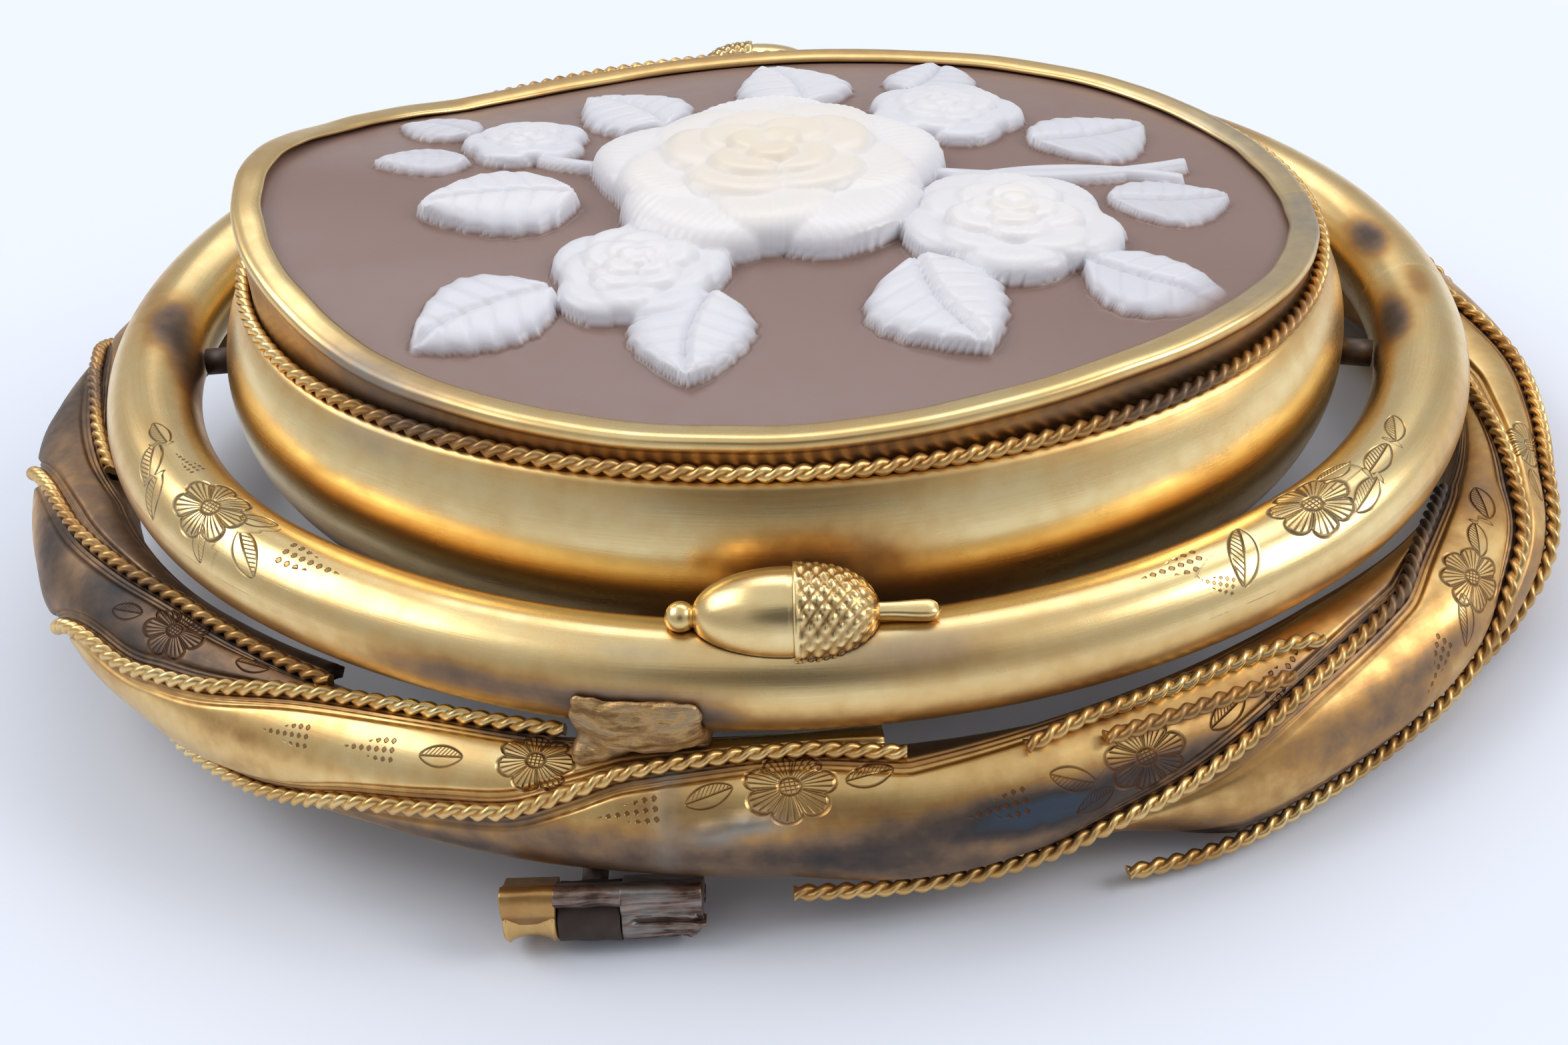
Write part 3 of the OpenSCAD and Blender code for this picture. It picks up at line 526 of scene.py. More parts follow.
def engraved_punches(tree):
    """Rows of punched dots that narrow to a point. The size is three and a half rows."""
    x, y, mask = motif_place(tree, "punch")
    dots = [(v * 22.0).then("COSINE") for v in (x, y)]
    dot = (((dots[0] + dots[1]) * 0.5 - 0.22) * 2.6).held()
    within = (((1.0 - x) * 0.26 - abs(y)) * 20.0).held()
    start = ((x + 1.0) * 20.0).held()
    return dot * within * start * mask


def new_material(name):
    item = bpy.data.materials.new(name)
    item.use_nodes = True
    item.node_tree.nodes.clear()
    place = add_node(item.node_tree, "ShaderNodeTexCoord").outputs["Object"]
    return item, item.node_tree, place


def shaded(item, inputs):
    """Gives the material its shader with these inputs."""
    shader = add_node(item.node_tree, "ShaderNodeBsdfPrincipled", inputs)
    add_node(item.node_tree, "ShaderNodeOutputMaterial", {"Surface": shader.outputs["BSDF"]})
    return item


def mottling(tree, place, sizes, rough=0.55):
    """Uneven patches, one for each (size in mm, detail). On a place that a Mapping node has already
    stretched to its own size, 1000 mm is one unit."""
    for size, detail in sizes:
        inputs = {"Vector": place, "Scale": 1000 / size, "Detail": detail, "Roughness": rough}
        yield Term(add_node(tree, "ShaderNodeTexNoise", inputs).outputs["Fac"])


GILT_STOPS = [
    (0.0, "#F3DAA0"), (0.2, "#E0BA7A"), (0.38, "#B78C56"), (0.54, "#8A7058"), (0.7, "#62544A"),
    (0.84, "#4C4847"), (1.0, "#4C5661"),
]
PIN_STOPS = [(0.0, "#8F857C"), (0.5, "#5B504A"), (1.0, "#3B322E")]
# Depth of the burnisher's hairlines beside that of the worn pits
HAIRLINES = 0.25


def worn_metal(name, stops, base_age, unevenness=0.35, roughness=0.24, lengthwise=True, engraved=False):
    """Gilt brass, rolled and burnished, long worn: bright pale gold where it is rubbed, orange and brown
    where the gilding has gone, blue-black where it was heated. The pin's bare wire ages the same way.
    The attribute that drives these colours also carries painted shade and painted reflection on the
    gallery and the tube ring."""
    item, tree, place = new_material(name)
    age_and_shade, cut, grey = (Term(add_node(tree, "ShaderNodeAttribute", attribute_name=key).outputs["Fac"])
                      for key in ("age_and_shade", "cut", "grey"))
    if engraved:
        work = engraved_flower(tree).most(engraved_leaf(tree), engraved_punches(tree))
        cut = cut.most(work)
    broad, fine, speckle, pits = mottling(tree, place, ((6.0, 4), (0.9, 3), (0.7, 3), (0.5, 4)))
    worn = (broad - 0.5) * unevenness + (fine - 0.5) * (unevenness * 0.6)
    total = (age_and_shade + worn + base_age).held()
    colour = add_node(tree, "ShaderNodeValToRGB", {"Fac": total}, stops).outputs["Color"]
    solder_film = (grey * (speckle + 0.45)).held()
    for share, tint in ((solder_film, "#9C968C"), (cut * 0.72, "#6B3F1C")):
        # 6 and 7 are the Mix node's colour sockets
        pair = {0: share, 6: colour, 7: linear(tint)}
        colour = add_node(tree, "ShaderNodeMix", pair, data_type="RGBA").outputs[2]
    if lengthwise:
        uv = add_node(tree, "ShaderNodeUVMap", uv_map="lengthwise").outputs["UV"]
        pull = {"Vector": uv, "Scale": (0.25, 9.0, 1.0)}
        drawn = add_node(tree, "ShaderNodeMapping", pull).outputs["Vector"]
        (hair,) = mottling(tree, drawn, ((1000, 5),), 0.7)
    else:
        (hair,) = mottling(tree, place, ((0.25, 3),), 0.6)
    rough = (total * 0.42 + hair * 0.14 + (roughness - 0.08)).held()
    height = hair * HAIRLINES + pits * (total * 0.9)
    hairlines = {"Height": height, "Strength": 0.35, "Distance": 0.00004}
    normal = add_node(tree, "ShaderNodeBump", hairlines).outputs[0]
    if engraved:
        depth = bpy.context.scene.brooch.engraving_depth * MM
        relief = {"Height": work, "Strength": 1.0, "Distance": depth, "Normal": normal}
        normal = add_node(tree, "ShaderNodeBump", relief, invert=True).outputs[0]
    return shaded(item, {"Base Color": colour, "Roughness": (rough + grey * 0.18).held(), "Normal": normal,
                         "Metallic": 1.0})


def carved_shell():
    """Carved helmet shell: a glossy brown-mauve ground, and a white layer that is bluish where it is
    thin over the ground and creamy where it is thickest."""
    item, tree, place = new_material("carved_shell")
    white = Term(add_node(tree, "ShaderNodeAttribute", attribute_name="white").outputs["Fac"])
    cloud, polish, grain_lines = mottling(tree, place, ((9.0, 3), (1.4, 3), (0.35, 3)))
    thick = (white + (cloud - 0.5) * 0.03).held()
    stops = [(0.0, "#84695F"), (0.02, "#876D63"), (0.05, "#A39492"), (0.10, "#BFBCC2"), (0.22, "#D6D5DA"),
             (0.5, "#E6E2DF"), (0.78, "#E8DBC6"), (1.0, "#E2CFB2")]
    colour = add_node(tree, "ShaderNodeValToRGB", {"Fac": thick}, stops).outputs["Color"]
    bump = add_node(tree, "ShaderNodeBump", {"Height": grain_lines, "Strength": 0.18, "Distance": 0.00003})
    return shaded(item, {"Base Color": colour, "Roughness": polish * 0.12 + 0.26, "Normal": bump.outputs[0],
                         "Subsurface Weight": 0.22, "Subsurface Radius": (1.0, 0.75, 0.6),
                         "Subsurface Scale": 0.0006, "IOR": 1.53})


def streaked_metal(name, pull, shares, blotch, stops, dull, depth, metallic):
    """Metal with a drawn grain. pull is how a Mapping node stretches it, shares those of streaks and
    blotches, blotch (size, detail, roughness), dull the least roughness and whether the streaks take part
    in it, depth (strength, distance) of the pits."""
    item, tree, place = new_material(name)
    drawn = add_node(tree, "ShaderNodeMapping", {"Vector": place, **pull}).outputs["Vector"]
    (streak,) = mottling(tree, drawn, ((1000, 4),), 0.6)
    (spot,) = mottling(tree, place, (blotch[:2],), blotch[2])
    blend = streak * shares[0] + spot * shares[1]
    colour = add_node(tree, "ShaderNodeValToRGB", {"Fac": blend}, stops).outputs["Color"]
    pits = {"Height": blend, "Strength": depth[0], "Distance": depth[1]}
    normal = add_node(tree, "ShaderNodeBump", pits).outputs[0]
    rough = (blend if dull[1] else spot) * 0.3 + dull[0]
    return shaded(item, {"Base Color": colour, "Roughness": rough, "Normal": normal, "Metallic": metallic})


def soft_solder():
    """Soft solder run over old gilding: brown gold and grey in drawn streaks, dull and pitted."""
    stops = [(0.32, "#553E28"), (0.42, "#8C6A42"), (0.5, "#BC9864"), (0.56, "#A48A6C"), (0.64, "#D0AE74")]
    pull = {"Rotation": (0.0, 0.5, 0.35), "Scale": (420.0, 900.0, 2300.0)}
    return streaked_metal("soft_solder", pull, (0.55, 0.45), (1.3, 5, 0.65), stops, (0.3, True),
                          (0.9, 0.00025), 0.85)


def burnt_copper():
    """Bare copper alloy, torn and burnt: drawn fibres of copper, grey and brown, like split wood."""
    stops = [(0.3, "#2A2524"), (0.42, "#5A4A42"), (0.5, "#8C7468"), (0.58, "#8F8D8A"), (0.7, "#C79A78")]
    pull = {"Scale": (500.0, 900.0, 5200.0)}
    return streaked_metal("burnt_copper_alloy", pull, (0.6, 0.4), (1.8, 4, 0.6), stops, (0.28, False),
                          (0.8, 0.00012), 0.9)


MATERIALS = {}


def material(key):
    """Each material is made once, when a piece first asks for it."""
    makers = {
        # Bezel, gallery and acorns: rubbed bright, with hairlines along the metal
        "bright_gilt": lambda: worn_metal("burnished_gilt_brass", GILT_STOPS, 0.02),
        # Tube ring: as bright, with cut flowers and leaves that hold brown dirt
        "ring_gilt": lambda: worn_metal("engraved_gilt_tube", GILT_STOPS, 0.02, engraved=True),
        # Leaves: thinner gilding, more uneven and a little duller
        "leaf_gilt": lambda: worn_metal("engraved_gilt_leaf", GILT_STOPS, 0.05, 0.5, 0.27, engraved=True),
        # Twisted wires: softly bright, without hairlines
        "wire_gilt": lambda: worn_metal("twisted_gilt_wire", GILT_STOPS, 0.1, 0.4, 0.26, lengthwise=False),
        # Core and catch: brown and dull, never rubbed
        "core_gilt": lambda: worn_metal("dull_gilt_brass", GILT_STOPS, 0.5, 0.4, 0.36, lengthwise=False),
        # Pin: grey-brown drawn wire
        "pin_metal": lambda: worn_metal("drawn_pin_wire", PIN_STOPS, 0.3, 0.5, 0.34, lengthwise=False),
        "shell": carved_shell,
        "solder": soft_solder,
        "burnt": burnt_copper,
    }
    if key not in MATERIALS:
        MATERIALS[key] = makers[key]()
    return MATERIALS[key]


# Pieces
# Rings of petals from the outside in: distance, length, width, level, petals more than the flower's, phase
PETAL_RINGS = [
    (0.60, 0.42, 0.50, 0.62, 0, 0), (0.52, 0.36, 0.42, 0.70, 0, 0.5), (0.36, 0.30, 0.34, 0.84, 0, 0.1),
    (0.22, 0.24, 0.26, 0.93, -1, 0.4), (0.09, 0.17, 0.18, 1.0, -2, 0.2),
]


def carving(x, y, top):
    """Height of the carving over the ground, in shares of top, with veins and folded petals."""
    high = np.zeros_like(x)
    wobble = 0.012 * np.sin(x * 23 + 2 * np.sin(y * 11)) + 0.012 * np.sin(y * 27 + 1.3)
    for fx, fy, radius, petals, tall, turn in FLOWERS:
        dx, dy = x - fx, y - fy
        near = np.hypot(dx, dy) < radius
        a = np.arctan2(dy[near], dx[near])
        d = np.hypot(dx[near], dy[near]) / radius + wobble[near]
        best = np.zeros_like(d)
        for index, (out, long, wide, level, more, phase) in enumerate(PETAL_RINGS):
            count = petals + more
            for k in range(count):
                pa = math.radians(turn) + 2 * math.pi * (k + phase) / count
                along = (d * np.cos(a - pa) - out) / long
                across = d * np.sin(a - pa)
                e = np.hypot(along, across / wide)
                cup = 0.80 + 0.20 * ramp(along * 0.6 + 0.4 + 0.5 * (across / wide) ** 2)
                vein = 0.012 * np.cos(across * 60 / max(wide, 0.2)) * ramp(along + 0.4) * (index < 3)
                tip = 0.03 * np.sin(k * 2.4 + index)
                petal = np.where(e < 1, (level + tip) * cup * np.sqrt(ramp(1 - e**5)) + vein, 0)
                best = np.maximum(best, petal)
        high[near] = np.maximum(high[near], best * tall)
    for lx, ly, length, width, turn, tall in LEAVES:
        c, s = math.cos(math.radians(turn)), math.sin(math.radians(turn))
        dx, dy = x - lx, y - ly
        u = (dx * c + dy * s) / length
        v = (dy * c - dx * s) / width + 0.18 * np.sin(math.pi * ramp(u))
        saw = 1 + 0.07 * np.abs(((u * 7) % 1) - 0.5) * 2
        half = ramp(np.sin(math.pi * ramp(u) ** 0.8)) ** 0.8 * saw
        w = abs(v) / np.maximum(half, 0.01)
        rib = 0.72 + 0.28 * ramp(abs(v) * 7)
        vein = 1 - 0.10 * ramp(1 - abs(((u * 6 - abs(v) * 0.9) % 1) - 0.5) * 7)
        fold = 1 + 0.12 * np.where(v > 0, 1, -1) * (1 - w)
        leaf = tall * np.sqrt(ramp(1 - w**4)) * rib * vein * fold
        high = np.maximum(high, np.where((u > 0) & (u < 1) & (w < 1), leaf, 0))
    for ax, ay, bx, by, bow, half, tall in STEMS:
        lx, ly = bx - ax, by - ay
        reach = math.hypot(lx, ly)
        u = ((x - ax) * lx + (y - ay) * ly) / reach**2
        v = ((y - ay) * lx - (x - ax) * ly) / reach - bow * 4 * u * (1 - u)
        inside = (u > 0) & (u < 1) & (abs(v) < half)
        high = np.maximum(high, np.where(inside, tall * np.sqrt(ramp(1 - (v / half) ** 2)), 0))
    return high * top


def rim_at(degrees):
    return RIM_RISE * table_at(RIM, (np.asarray(degrees) + 720) % 360, 1)


def make_shell(settings):
    across, deep = 320, 270
    u, v = np.meshgrid(np.linspace(-1, 1, across + 1), np.linspace(-1, 1, deep + 1))
    dx, dy = u * np.sqrt(1 - v * v / 2), v * np.sqrt(1 - u * u / 2)
    r = np.hypot(dx, dy)
    round_it = np.arctan2(dy, dx)
    long, wide = SHELL_HALF
    ex, ey = SHELL.at(np.arctan2(np.sin(round_it) * long, np.cos(round_it) * wide))
    x, y = ex * r, ey * r
    rim = rim_at(np.degrees(np.arctan2(dy * long, dx * wide)))
    mean = RIM_MEAN * RIM_RISE
    level = WIRE_PLANE - SHELL_DROP + mean
    ground = level + (rim - mean) * r**2 + SHELL_DOME * (1 - r**2)
    raised = ramp((0.95 - r) * 12) * carving(x / wide, y / wide, settings.carving_height)
    top = np.stack([x, y, ground + raised], -1)
    n = (across + 1) * (deep + 1)
    index = np.arange(n).reshape(deep + 1, across + 1)
    faces = np.stack([index[:-1, :-1], index[:-1, 1:], index[1:, 1:], index[1:, :-1]], -1).reshape(-1, 4)
    walk = np.concatenate([index[0, :-1], index[:-1, -1], index[-1, :0:-1], index[:0:-1, 0]])
    back = top.reshape(-1, 3)[walk] - [0, 0, SHELL_THICKNESS]
    middle = np.array([[0, 0, level + SHELL_DOME - SHELL_THICKNESS]])
    m = len(walk)
    ring = n + np.arange(m)
    walls = np.stack([walk, ring, np.roll(ring, -1), np.roll(walk, -1)], -1)
    points = laid(tilted(np.concatenate([top.reshape(-1, 3), back, middle])))
    fan = [[ring[i], n + m, ring[(i + 1) % m]] for i in range(m)]
    white = np.concatenate([raised.ravel() / 2.6, np.zeros(m + 1)])
    piece = build("carved_cameo", points, [*faces, *walls, *fan], material("shell"), {"white": white})
    return finish_piece(piece, "shell", "cameo")


def make_bezel():
    stations = 620
    a = np.linspace(0, 360, stations, endpoint=False)
    top = WIRE_PLANE + rim_at(a) + 0.05 * ripple(a, (9, 14, 22, 31), 3) - 0.03
    foot = np.full(stations, GALLERY_TOP - 0.9)
    roll = 0.14 * ramp((rim_at(a) - 0.7) * 2)
    bend = 0.04 * ripple(a, (7, 12, 19, 33), 8)
    inner = -COLLAR_WALL - LIP_REACH + 0.09 * ripple(a, (8, 13, 21, 37), 5)
    low = np.minimum(0.95, (top - foot) * 0.55)
    section = [(0, foot), (0, top - low), (0.02, top - 0.70 * low), (roll * 0.5, top - 0.58 * low),
               (roll, top - 0.44 * low), (roll * 1.05, top - 0.32 * low), (roll * 0.8, top - 0.16 * low),
               (roll * 0.2, top - 0.05 * low), (-0.16, top), (-0.34, top), (inner * 0.6, top - 0.03),
               (inner * 0.85, top - 0.07), (inner, top - 0.16), (inner, top - 0.27),
               (inner * 0.9, top - 0.33), (-COLLAR_WALL, top - 0.34), (-COLLAR_WALL, foot)]
    points = np.stack([COLLAR.stand_off(a, q + bend * (0 < i < 14), h)
                       for i, (q, h) in enumerate(section)], 1)
    n = len(section)
    aa, level = a[:, None], np.arange(n)[None, :]
    # Darker on the underside of the rolled lip and at the foot below it
    age_and_shade = 0.08 + 0.30 * np.exp(-((level - 3.0) / 1.6) ** 2) + 0.25 * (level <= 1)
    age_and_shade = age_and_shade + spots(aa, level, [(236, 4, 10, 6, 0.25), (95, 8, 40, 6, 0.15), (300, 3, 30, 2, 0.15),
                                  (180, 4, 25, 5, 0.12)])
    grey = spots(aa, level, [(235, 6, 8, 4, 0.9), (352, 8, 16, 5, 0.8), (322, 10, 14, 3, 0.5),
                             (20, 9, 26, 4, 0.6)])
    piece = build("rolled_bezel", laid(tilted(points)), grid_faces(stations, n), material("bright_gilt"),
                  {"age_and_shade": age_and_shade, "grey": grey, "cut": 0.0}, (np.radians(aa) * 21, level * 0.15))
    return finish_piece(piece, "gilt", "bezel")


# Pegs from the gallery to the tube ring, by direction in degrees
PEGS = (-13, 66, 114, 186)
PEG_R = 0.6
PEG_SIDES = 16


def make_gallery():
    stations, high, back = 460, 34, 9
    a = np.linspace(0, 360, stations, endpoint=False)[:, None]
    half = GALLERY_HEIGHT / 2
    t = np.concatenate([np.linspace(-1, 1, high), np.linspace(1, -1, back)])[None, :]
    out_side = np.arange(high + back)[None, :] < high
    arc = np.where(out_side, GALLERY_ARC, GALLERY_ARC - GALLERY_WALL)
    dent = 0.035 * ripple(a, (5, 9, 14, 23), 12) * np.cos(t * 1.4) - 0.03
    q = GALLERY_OUT - GALLERY_ARC + np.sqrt(arc**2 - (half * t) ** 2) + dent * out_side
    points = COLLAR.stand_off(a, q, half * t + GALLERY_MIDDLE)
    # Darker towards the bottom: painted reflection of the tube ring below. Also a darker band just under the
    # collar wire.
    age_and_shade = 0.03 + 0.26 * ease((-t - 0.25) / 0.6) + 0.18 * np.exp(-((t - 0.95) / 0.12) ** 2)
    age_and_shade = age_and_shade + spots(a, t, [(268, -0.45, 9, 0.35, 0.5), (262, -0.9, 22, 0.3, 0.35), (281, -0.25, 8, 0.3, 0.4),
                             (273, 0.25, 8, 0.4, 0.42), (225, -0.9, 18, 0.35, 0.3), (302, -0.9, 18, 0.3, 0.3),
                             (192, 0.2, 6, 0.6, 0.35), (345, 0.0, 9, 0.7, 0.2), (90, -0.2, 60, 0.6, 0.15)])
    grey = spots(a, t, [(276, -0.8, 6, 0.2, 0.5), (262, -0.8, 4, 0.2, 0.4), (236, 0.9, 5, 0.15, 0.5)])
    places = np.stack(np.broadcast_arrays(np.radians(a) * 22, t * half), -1).reshape(-1, 2)
    faces = grid_faces(stations, high + back).tolist()
    count = age_and_shade.size
    flat = [points.reshape(-1, 3)]
    rim = Oval(COLLAR_HALF[0] + GALLERY_OUT, COLLAR_HALF[1] + GALLERY_OUT)
    buried = GALLERY_WALL * 0.6
    for k, direction in enumerate(PEGS):
        rad = math.radians(direction)
        near, far = rim.stand_off(direction, 0, 0), RING.stand_off(direction, 0, 0)
        out = np.array([math.cos(rad), math.sin(rad), 0])
        side = np.array([-math.sin(rad), math.cos(rad), 0])
        long = buried + (far - near) @ out - TUBE_R - 2 * GAP
        for reach in (0, long):
            for w in np.linspace(0, 2 * math.pi, PEG_SIDES, endpoint=False):
                spoke = side * math.cos(w) + np.array([0, 0, 1]) * math.sin(w)
                flat.append([near + out * (reach - buried) + PEG_R * spoke])
        faces += capped_faces(2, PEG_SIDES, count + 2 * PEG_SIDES * k)
    pad = 2 * PEG_SIDES * len(PEGS)
    looks = {"age_and_shade": np.append(age_and_shade, np.full(pad, 0.7)), "grey": np.append(grey, np.zeros(pad)), "cut": 0.0}
    piece = build("bulged_gallery", laid(tilted(np.concatenate(flat))), faces, material("bright_gilt"), looks,
                  np.concatenate([places, np.zeros((pad, 2))]).T)
    return finish_piece(piece, "gilt", "gallery")


# Engraving on the tube ring: kind, size, angle round the ring, climb, turn
TUBE_MOTIFS = [
    ("flower", 1.45, 225, 80, 10), ("leaf", 1.2, 213, 66, 150), ("leaf", 0.9, 209, 92, 185),
    ("leaf", 1.1, 217, 46, 130), ("leaf", 1.2, 233, 58, -35), ("leaf", 0.85, 231, 100, 20),
    ("punch", 1.5, 238, 80, 0), ("punch", 0.9, 216, 100, 190), ("leaf", 0.8, 227, 40, -60),
    ("flower", 1.45, 307, 84, 0), ("leaf", 1.35, 300, 69, 60), ("leaf", 1.1, 313, 58, 15),
    ("leaf", 0.9, 313, 104, -10), ("punch", 1.4, 295, 84, 180), ("punch", 0.9, 297, 52, 150),
    ("leaf", 1.1, 318, 80, 8), ("leaf", 0.9, 324, 90, 25),
]


# Tarnish of the tube ring, with painted shade: angle, climb, reach along, reach across, amount.
# Entries on the front below climb 0 paint the underside darker: painted shade, with the wreath's orange
# reflection. Entries above climb 110 make the inner side darker, towards the gallery.
TUBE_AGE_AND_SHADE = [
    (184, 112, 6, 30, 0.62), (192, 150, 7, 30, 0.5), (178, 60, 8, 30, 0.2), (349, 135, 6, 26, 0.66),
    (8, 118, 5, 24, 0.6), (356, 90, 5, 16, 0.35), (251, 8, 8, 22, 0.5), (262, 0, 5, 24, 0.55),
    # Below climb 0 on the front: painted shade on the underside, with the wreath's orange reflection
    (268, -20, 14, 26, 0.32), (278, 50, 5, 20, 0.2), (205, -10, 16, 30, 0.35), (225, -30, 20, 30, 0.35),
    (300, -20, 20, 34, 0.25), (330, 20, 10, 30, 0.2), (60, 80, 30, 70, 0.25), (120, 80, 30, 70, 0.3),
    # Above climb 110: darker on the inner side, towards the gallery
    (270, 170, 40, 26, 0.25), (225, 160, 20, 24, 0.3), (305, 160, 20, 24, 0.3),
]


def make_tube_ring():
    angles, walked = RING.walk()
    along = np.linspace(0, walked[-1], 620, endpoint=False)[:, None]
    a = np.interp(along, walked, angles)
    climb = np.concatenate([np.arange(18, 122, 4.0), np.linspace(122, 378, 38)[:-1]])[None, :]
    across = np.radians(climb) * TUBE_R
    work = engraving_places(along, across, motif_rows(TUBE_MOTIFS, RING, TUBE_R, angles, walked))
    dent = 0.02 * ripple(a, (4, 7, 11, 18), 31) * np.cos(np.radians(climb - 70)) - 0.015
    radius = TUBE_R + dent
    points = RING.stand_off(a, radius * np.cos(np.radians(climb)), radius * np.sin(np.radians(climb)))
    age_and_shade = spots(a, np.where(climb > 200, climb - 360, climb), TUBE_AGE_AND_SHADE, 0.06)
    grey = spots(a, climb, [(277, 60, 5, 22, 0.55), (275, 128, 3, 14, 0.8), (261, 62, 3, 10, 0.4),
                            (262, 15, 5, 12, 0.4)])
    piece = build("engraved_tube_ring", laid(points), grid_faces(*radius.shape), material("ring_gilt"),
                  {"age_and_shade": age_and_shade, "grey": grey, "cut": 0.0, **work}, (along, across))
    turn_outwards(piece)
    return finish_piece(piece, "gilt", "tube_ring")


# Leaves
# Engraving on the leaves: leaf, kind, size, angle, climb, turn
LEAF_MOTIFS = [
    (0, "flower", 1.15, 233, 76, 0), (0, "leaf", 0.8, 226, 66, 20), (0, "leaf", 0.75, 239, 80, 10),
    (1, "punch", 1.1, 248, 49, 188), (1, "leaf", 0.85, 252, 56, 8), (1, "flower", 1.1, 257, 66, 0),
    (1, "punch", 1.1, 243, 40, 188), (1, "leaf", 0.75, 260, 80, 12),
    (2, "flower", 1.25, 270, 57, 8), (2, "leaf", 0.9, 266, 50, 20), (2, "leaf", 0.9, 274, 62, 10),
    (2, "punch", 1.2, 262, 34, 192), (2, "flower", 1.2, 288, 41, 12), (2, "leaf", 0.9, 284, 38, 160),
    (2, "leaf", 0.8, 285, 18, 20), (2, "punch", 1.2, 280, 28, 186), (2, "leaf", 0.95, 293, 54, 20),
    (2, "punch", 1.3, 297, 66, 25),
    (3, "flower", 1.2, 315, 55, 40), (3, "leaf", 0.95, 311, 34, 55), (3, "punch", 1.1, 306, 18, 220),
    (3, "leaf", 0.9, 320, 72, 30), (3, "leaf", 1.0, 326, 86, 30),
    (11, "flower", 1.0, 204, 88, 10), (4, "flower", 1.1, 340, 62, 30), (4, "leaf", 0.8, 334, 50, 30),
]
# Tarnish on the leaves: leaf, base, spots of (angle, climb, reach, reach across, amount)
LEAF_AGE = {
    0: (0.52, [(222, 66, 6, 24, 0.2), (230, 50, 4, 14, 0.12), (238, 86, 5, 12, -0.2), (208, 50, 6, 26, 0.2),
               (200, 20, 6, 20, -0.2)]),
    1: (0.10, [(226, 12, 6, 12, 0.12), (262, 84, 5, 14, 0.3), (240, 26, 10, 8, 0.12), (218, -20, 8, 14, 0.2),
               (255, 86, 3, 6, 0.3)]),
    2: (0.18, [(264, 10, 8, 16, 0.26), (268, -18, 14, 22, 0.34), (279, 22, 6, 16, 0.5), (285, 16, 6, 24, 0.55),
               (291, 34, 5, 12, 0.4), (274, 2, 5, 14, 0.3), (298, 62, 8, 12, 0.35), (284, -20, 8, 16, 0.25),
               (256, 0, 8, 20, 0.15), (310, 84, 8, 16, 0.4), (250, -20, 8, 12, 0.25)]),
    3: (0.26, [(300, 10, 6, 20, 0.25), (308, 26, 5, 12, 0.2), (317, 64, 5, 14, -0.2), (290, -30, 6, 14, 0.2),
               (326, 88, 5, 14, 0.15), (311, 44, 3, 8, -0.2)]),
    4: (0.22, [(322, 20, 6, 20, 0.15), (305, -20, 8, 12, 0.1), (340, 62, 6, 16, -0.15)]),
    5: (0.32, []),
    11: (0.52, [(200, 74, 8, 18, 0.15), (186, 20, 6, 20, -0.1), (212, 96, 6, 12, -0.1)]),
}
OTHER_LEAF_AGE = (0.38, [])
FRONT_LEAVES = (0, 1, 2, 3, 4, 11)
# The leaf under the repair carries lumps and a film of solder
REPAIRED_LEAF = 2
LEAF_BLOBS = [(263.9, 30, 0.32, 34, 0.16), (266.1, 21, 0.8, 7, 0.30), (268.2, 31, 0.9, 6, 0.26),
              (267.2, 26, 1.3, 4, 0.12), (264.4, 6, 0.7, 8, 0.12)]
LEAF_FILM = [(266.1, 21, 1.3, 9, 0.9), (268.2, 30, 1.6, 9, 0.9), (263.9, 30, 0.7, 60, 0.5),
             (262, 70, 3, 12, 0.5)]
# Breadth of a leaf from which its ridges have their full width
FULL_BREADTH = 2.6


def leaf_profile(place, breadth, wide):
    """Height of a leaf over its edges: three fine ridges along each side and a swelling field between."""
    edge = np.minimum(place, breadth - place) / np.clip(breadth / FULL_BREADTH, 0.15, 1)
    rise = lambda at, width=0.03: 1 / (1 + np.exp(-(edge - at) / width))
    ridges = sum(np.exp(-((edge - at) / 0.055) ** 2) for at in (0.09, 0.27, 0.46))
    field = np.sin(math.pi * ramp(place / breadth)) ** 0.8
    return wide * (0.02 + 0.055 * ridges + 0.03 * rise(0.18) + 0.13 * rise(0.64, 0.035)
                   + 0.12 * field * rise(0.6, 0.05))


def across_places(breadth, count):
    """Places from 0 to 1 across a leaf, closer together at the ridged edges."""
    edge = np.clip(0.8 * np.clip(breadth / FULL_BREADTH, 0.15, 1) / breadth, 0.05, 0.36)
    third = count * 3 // 10
    low = np.linspace(0, 1, third, endpoint=False)[None, :] * edge
    middle = edge + (1 - 2 * edge) * np.linspace(0, 1, count - 2 * third, endpoint=False)[None, :]
    return np.concatenate([low, middle, 1 - edge + edge * np.linspace(0, 1, third)[None, :]], 1)


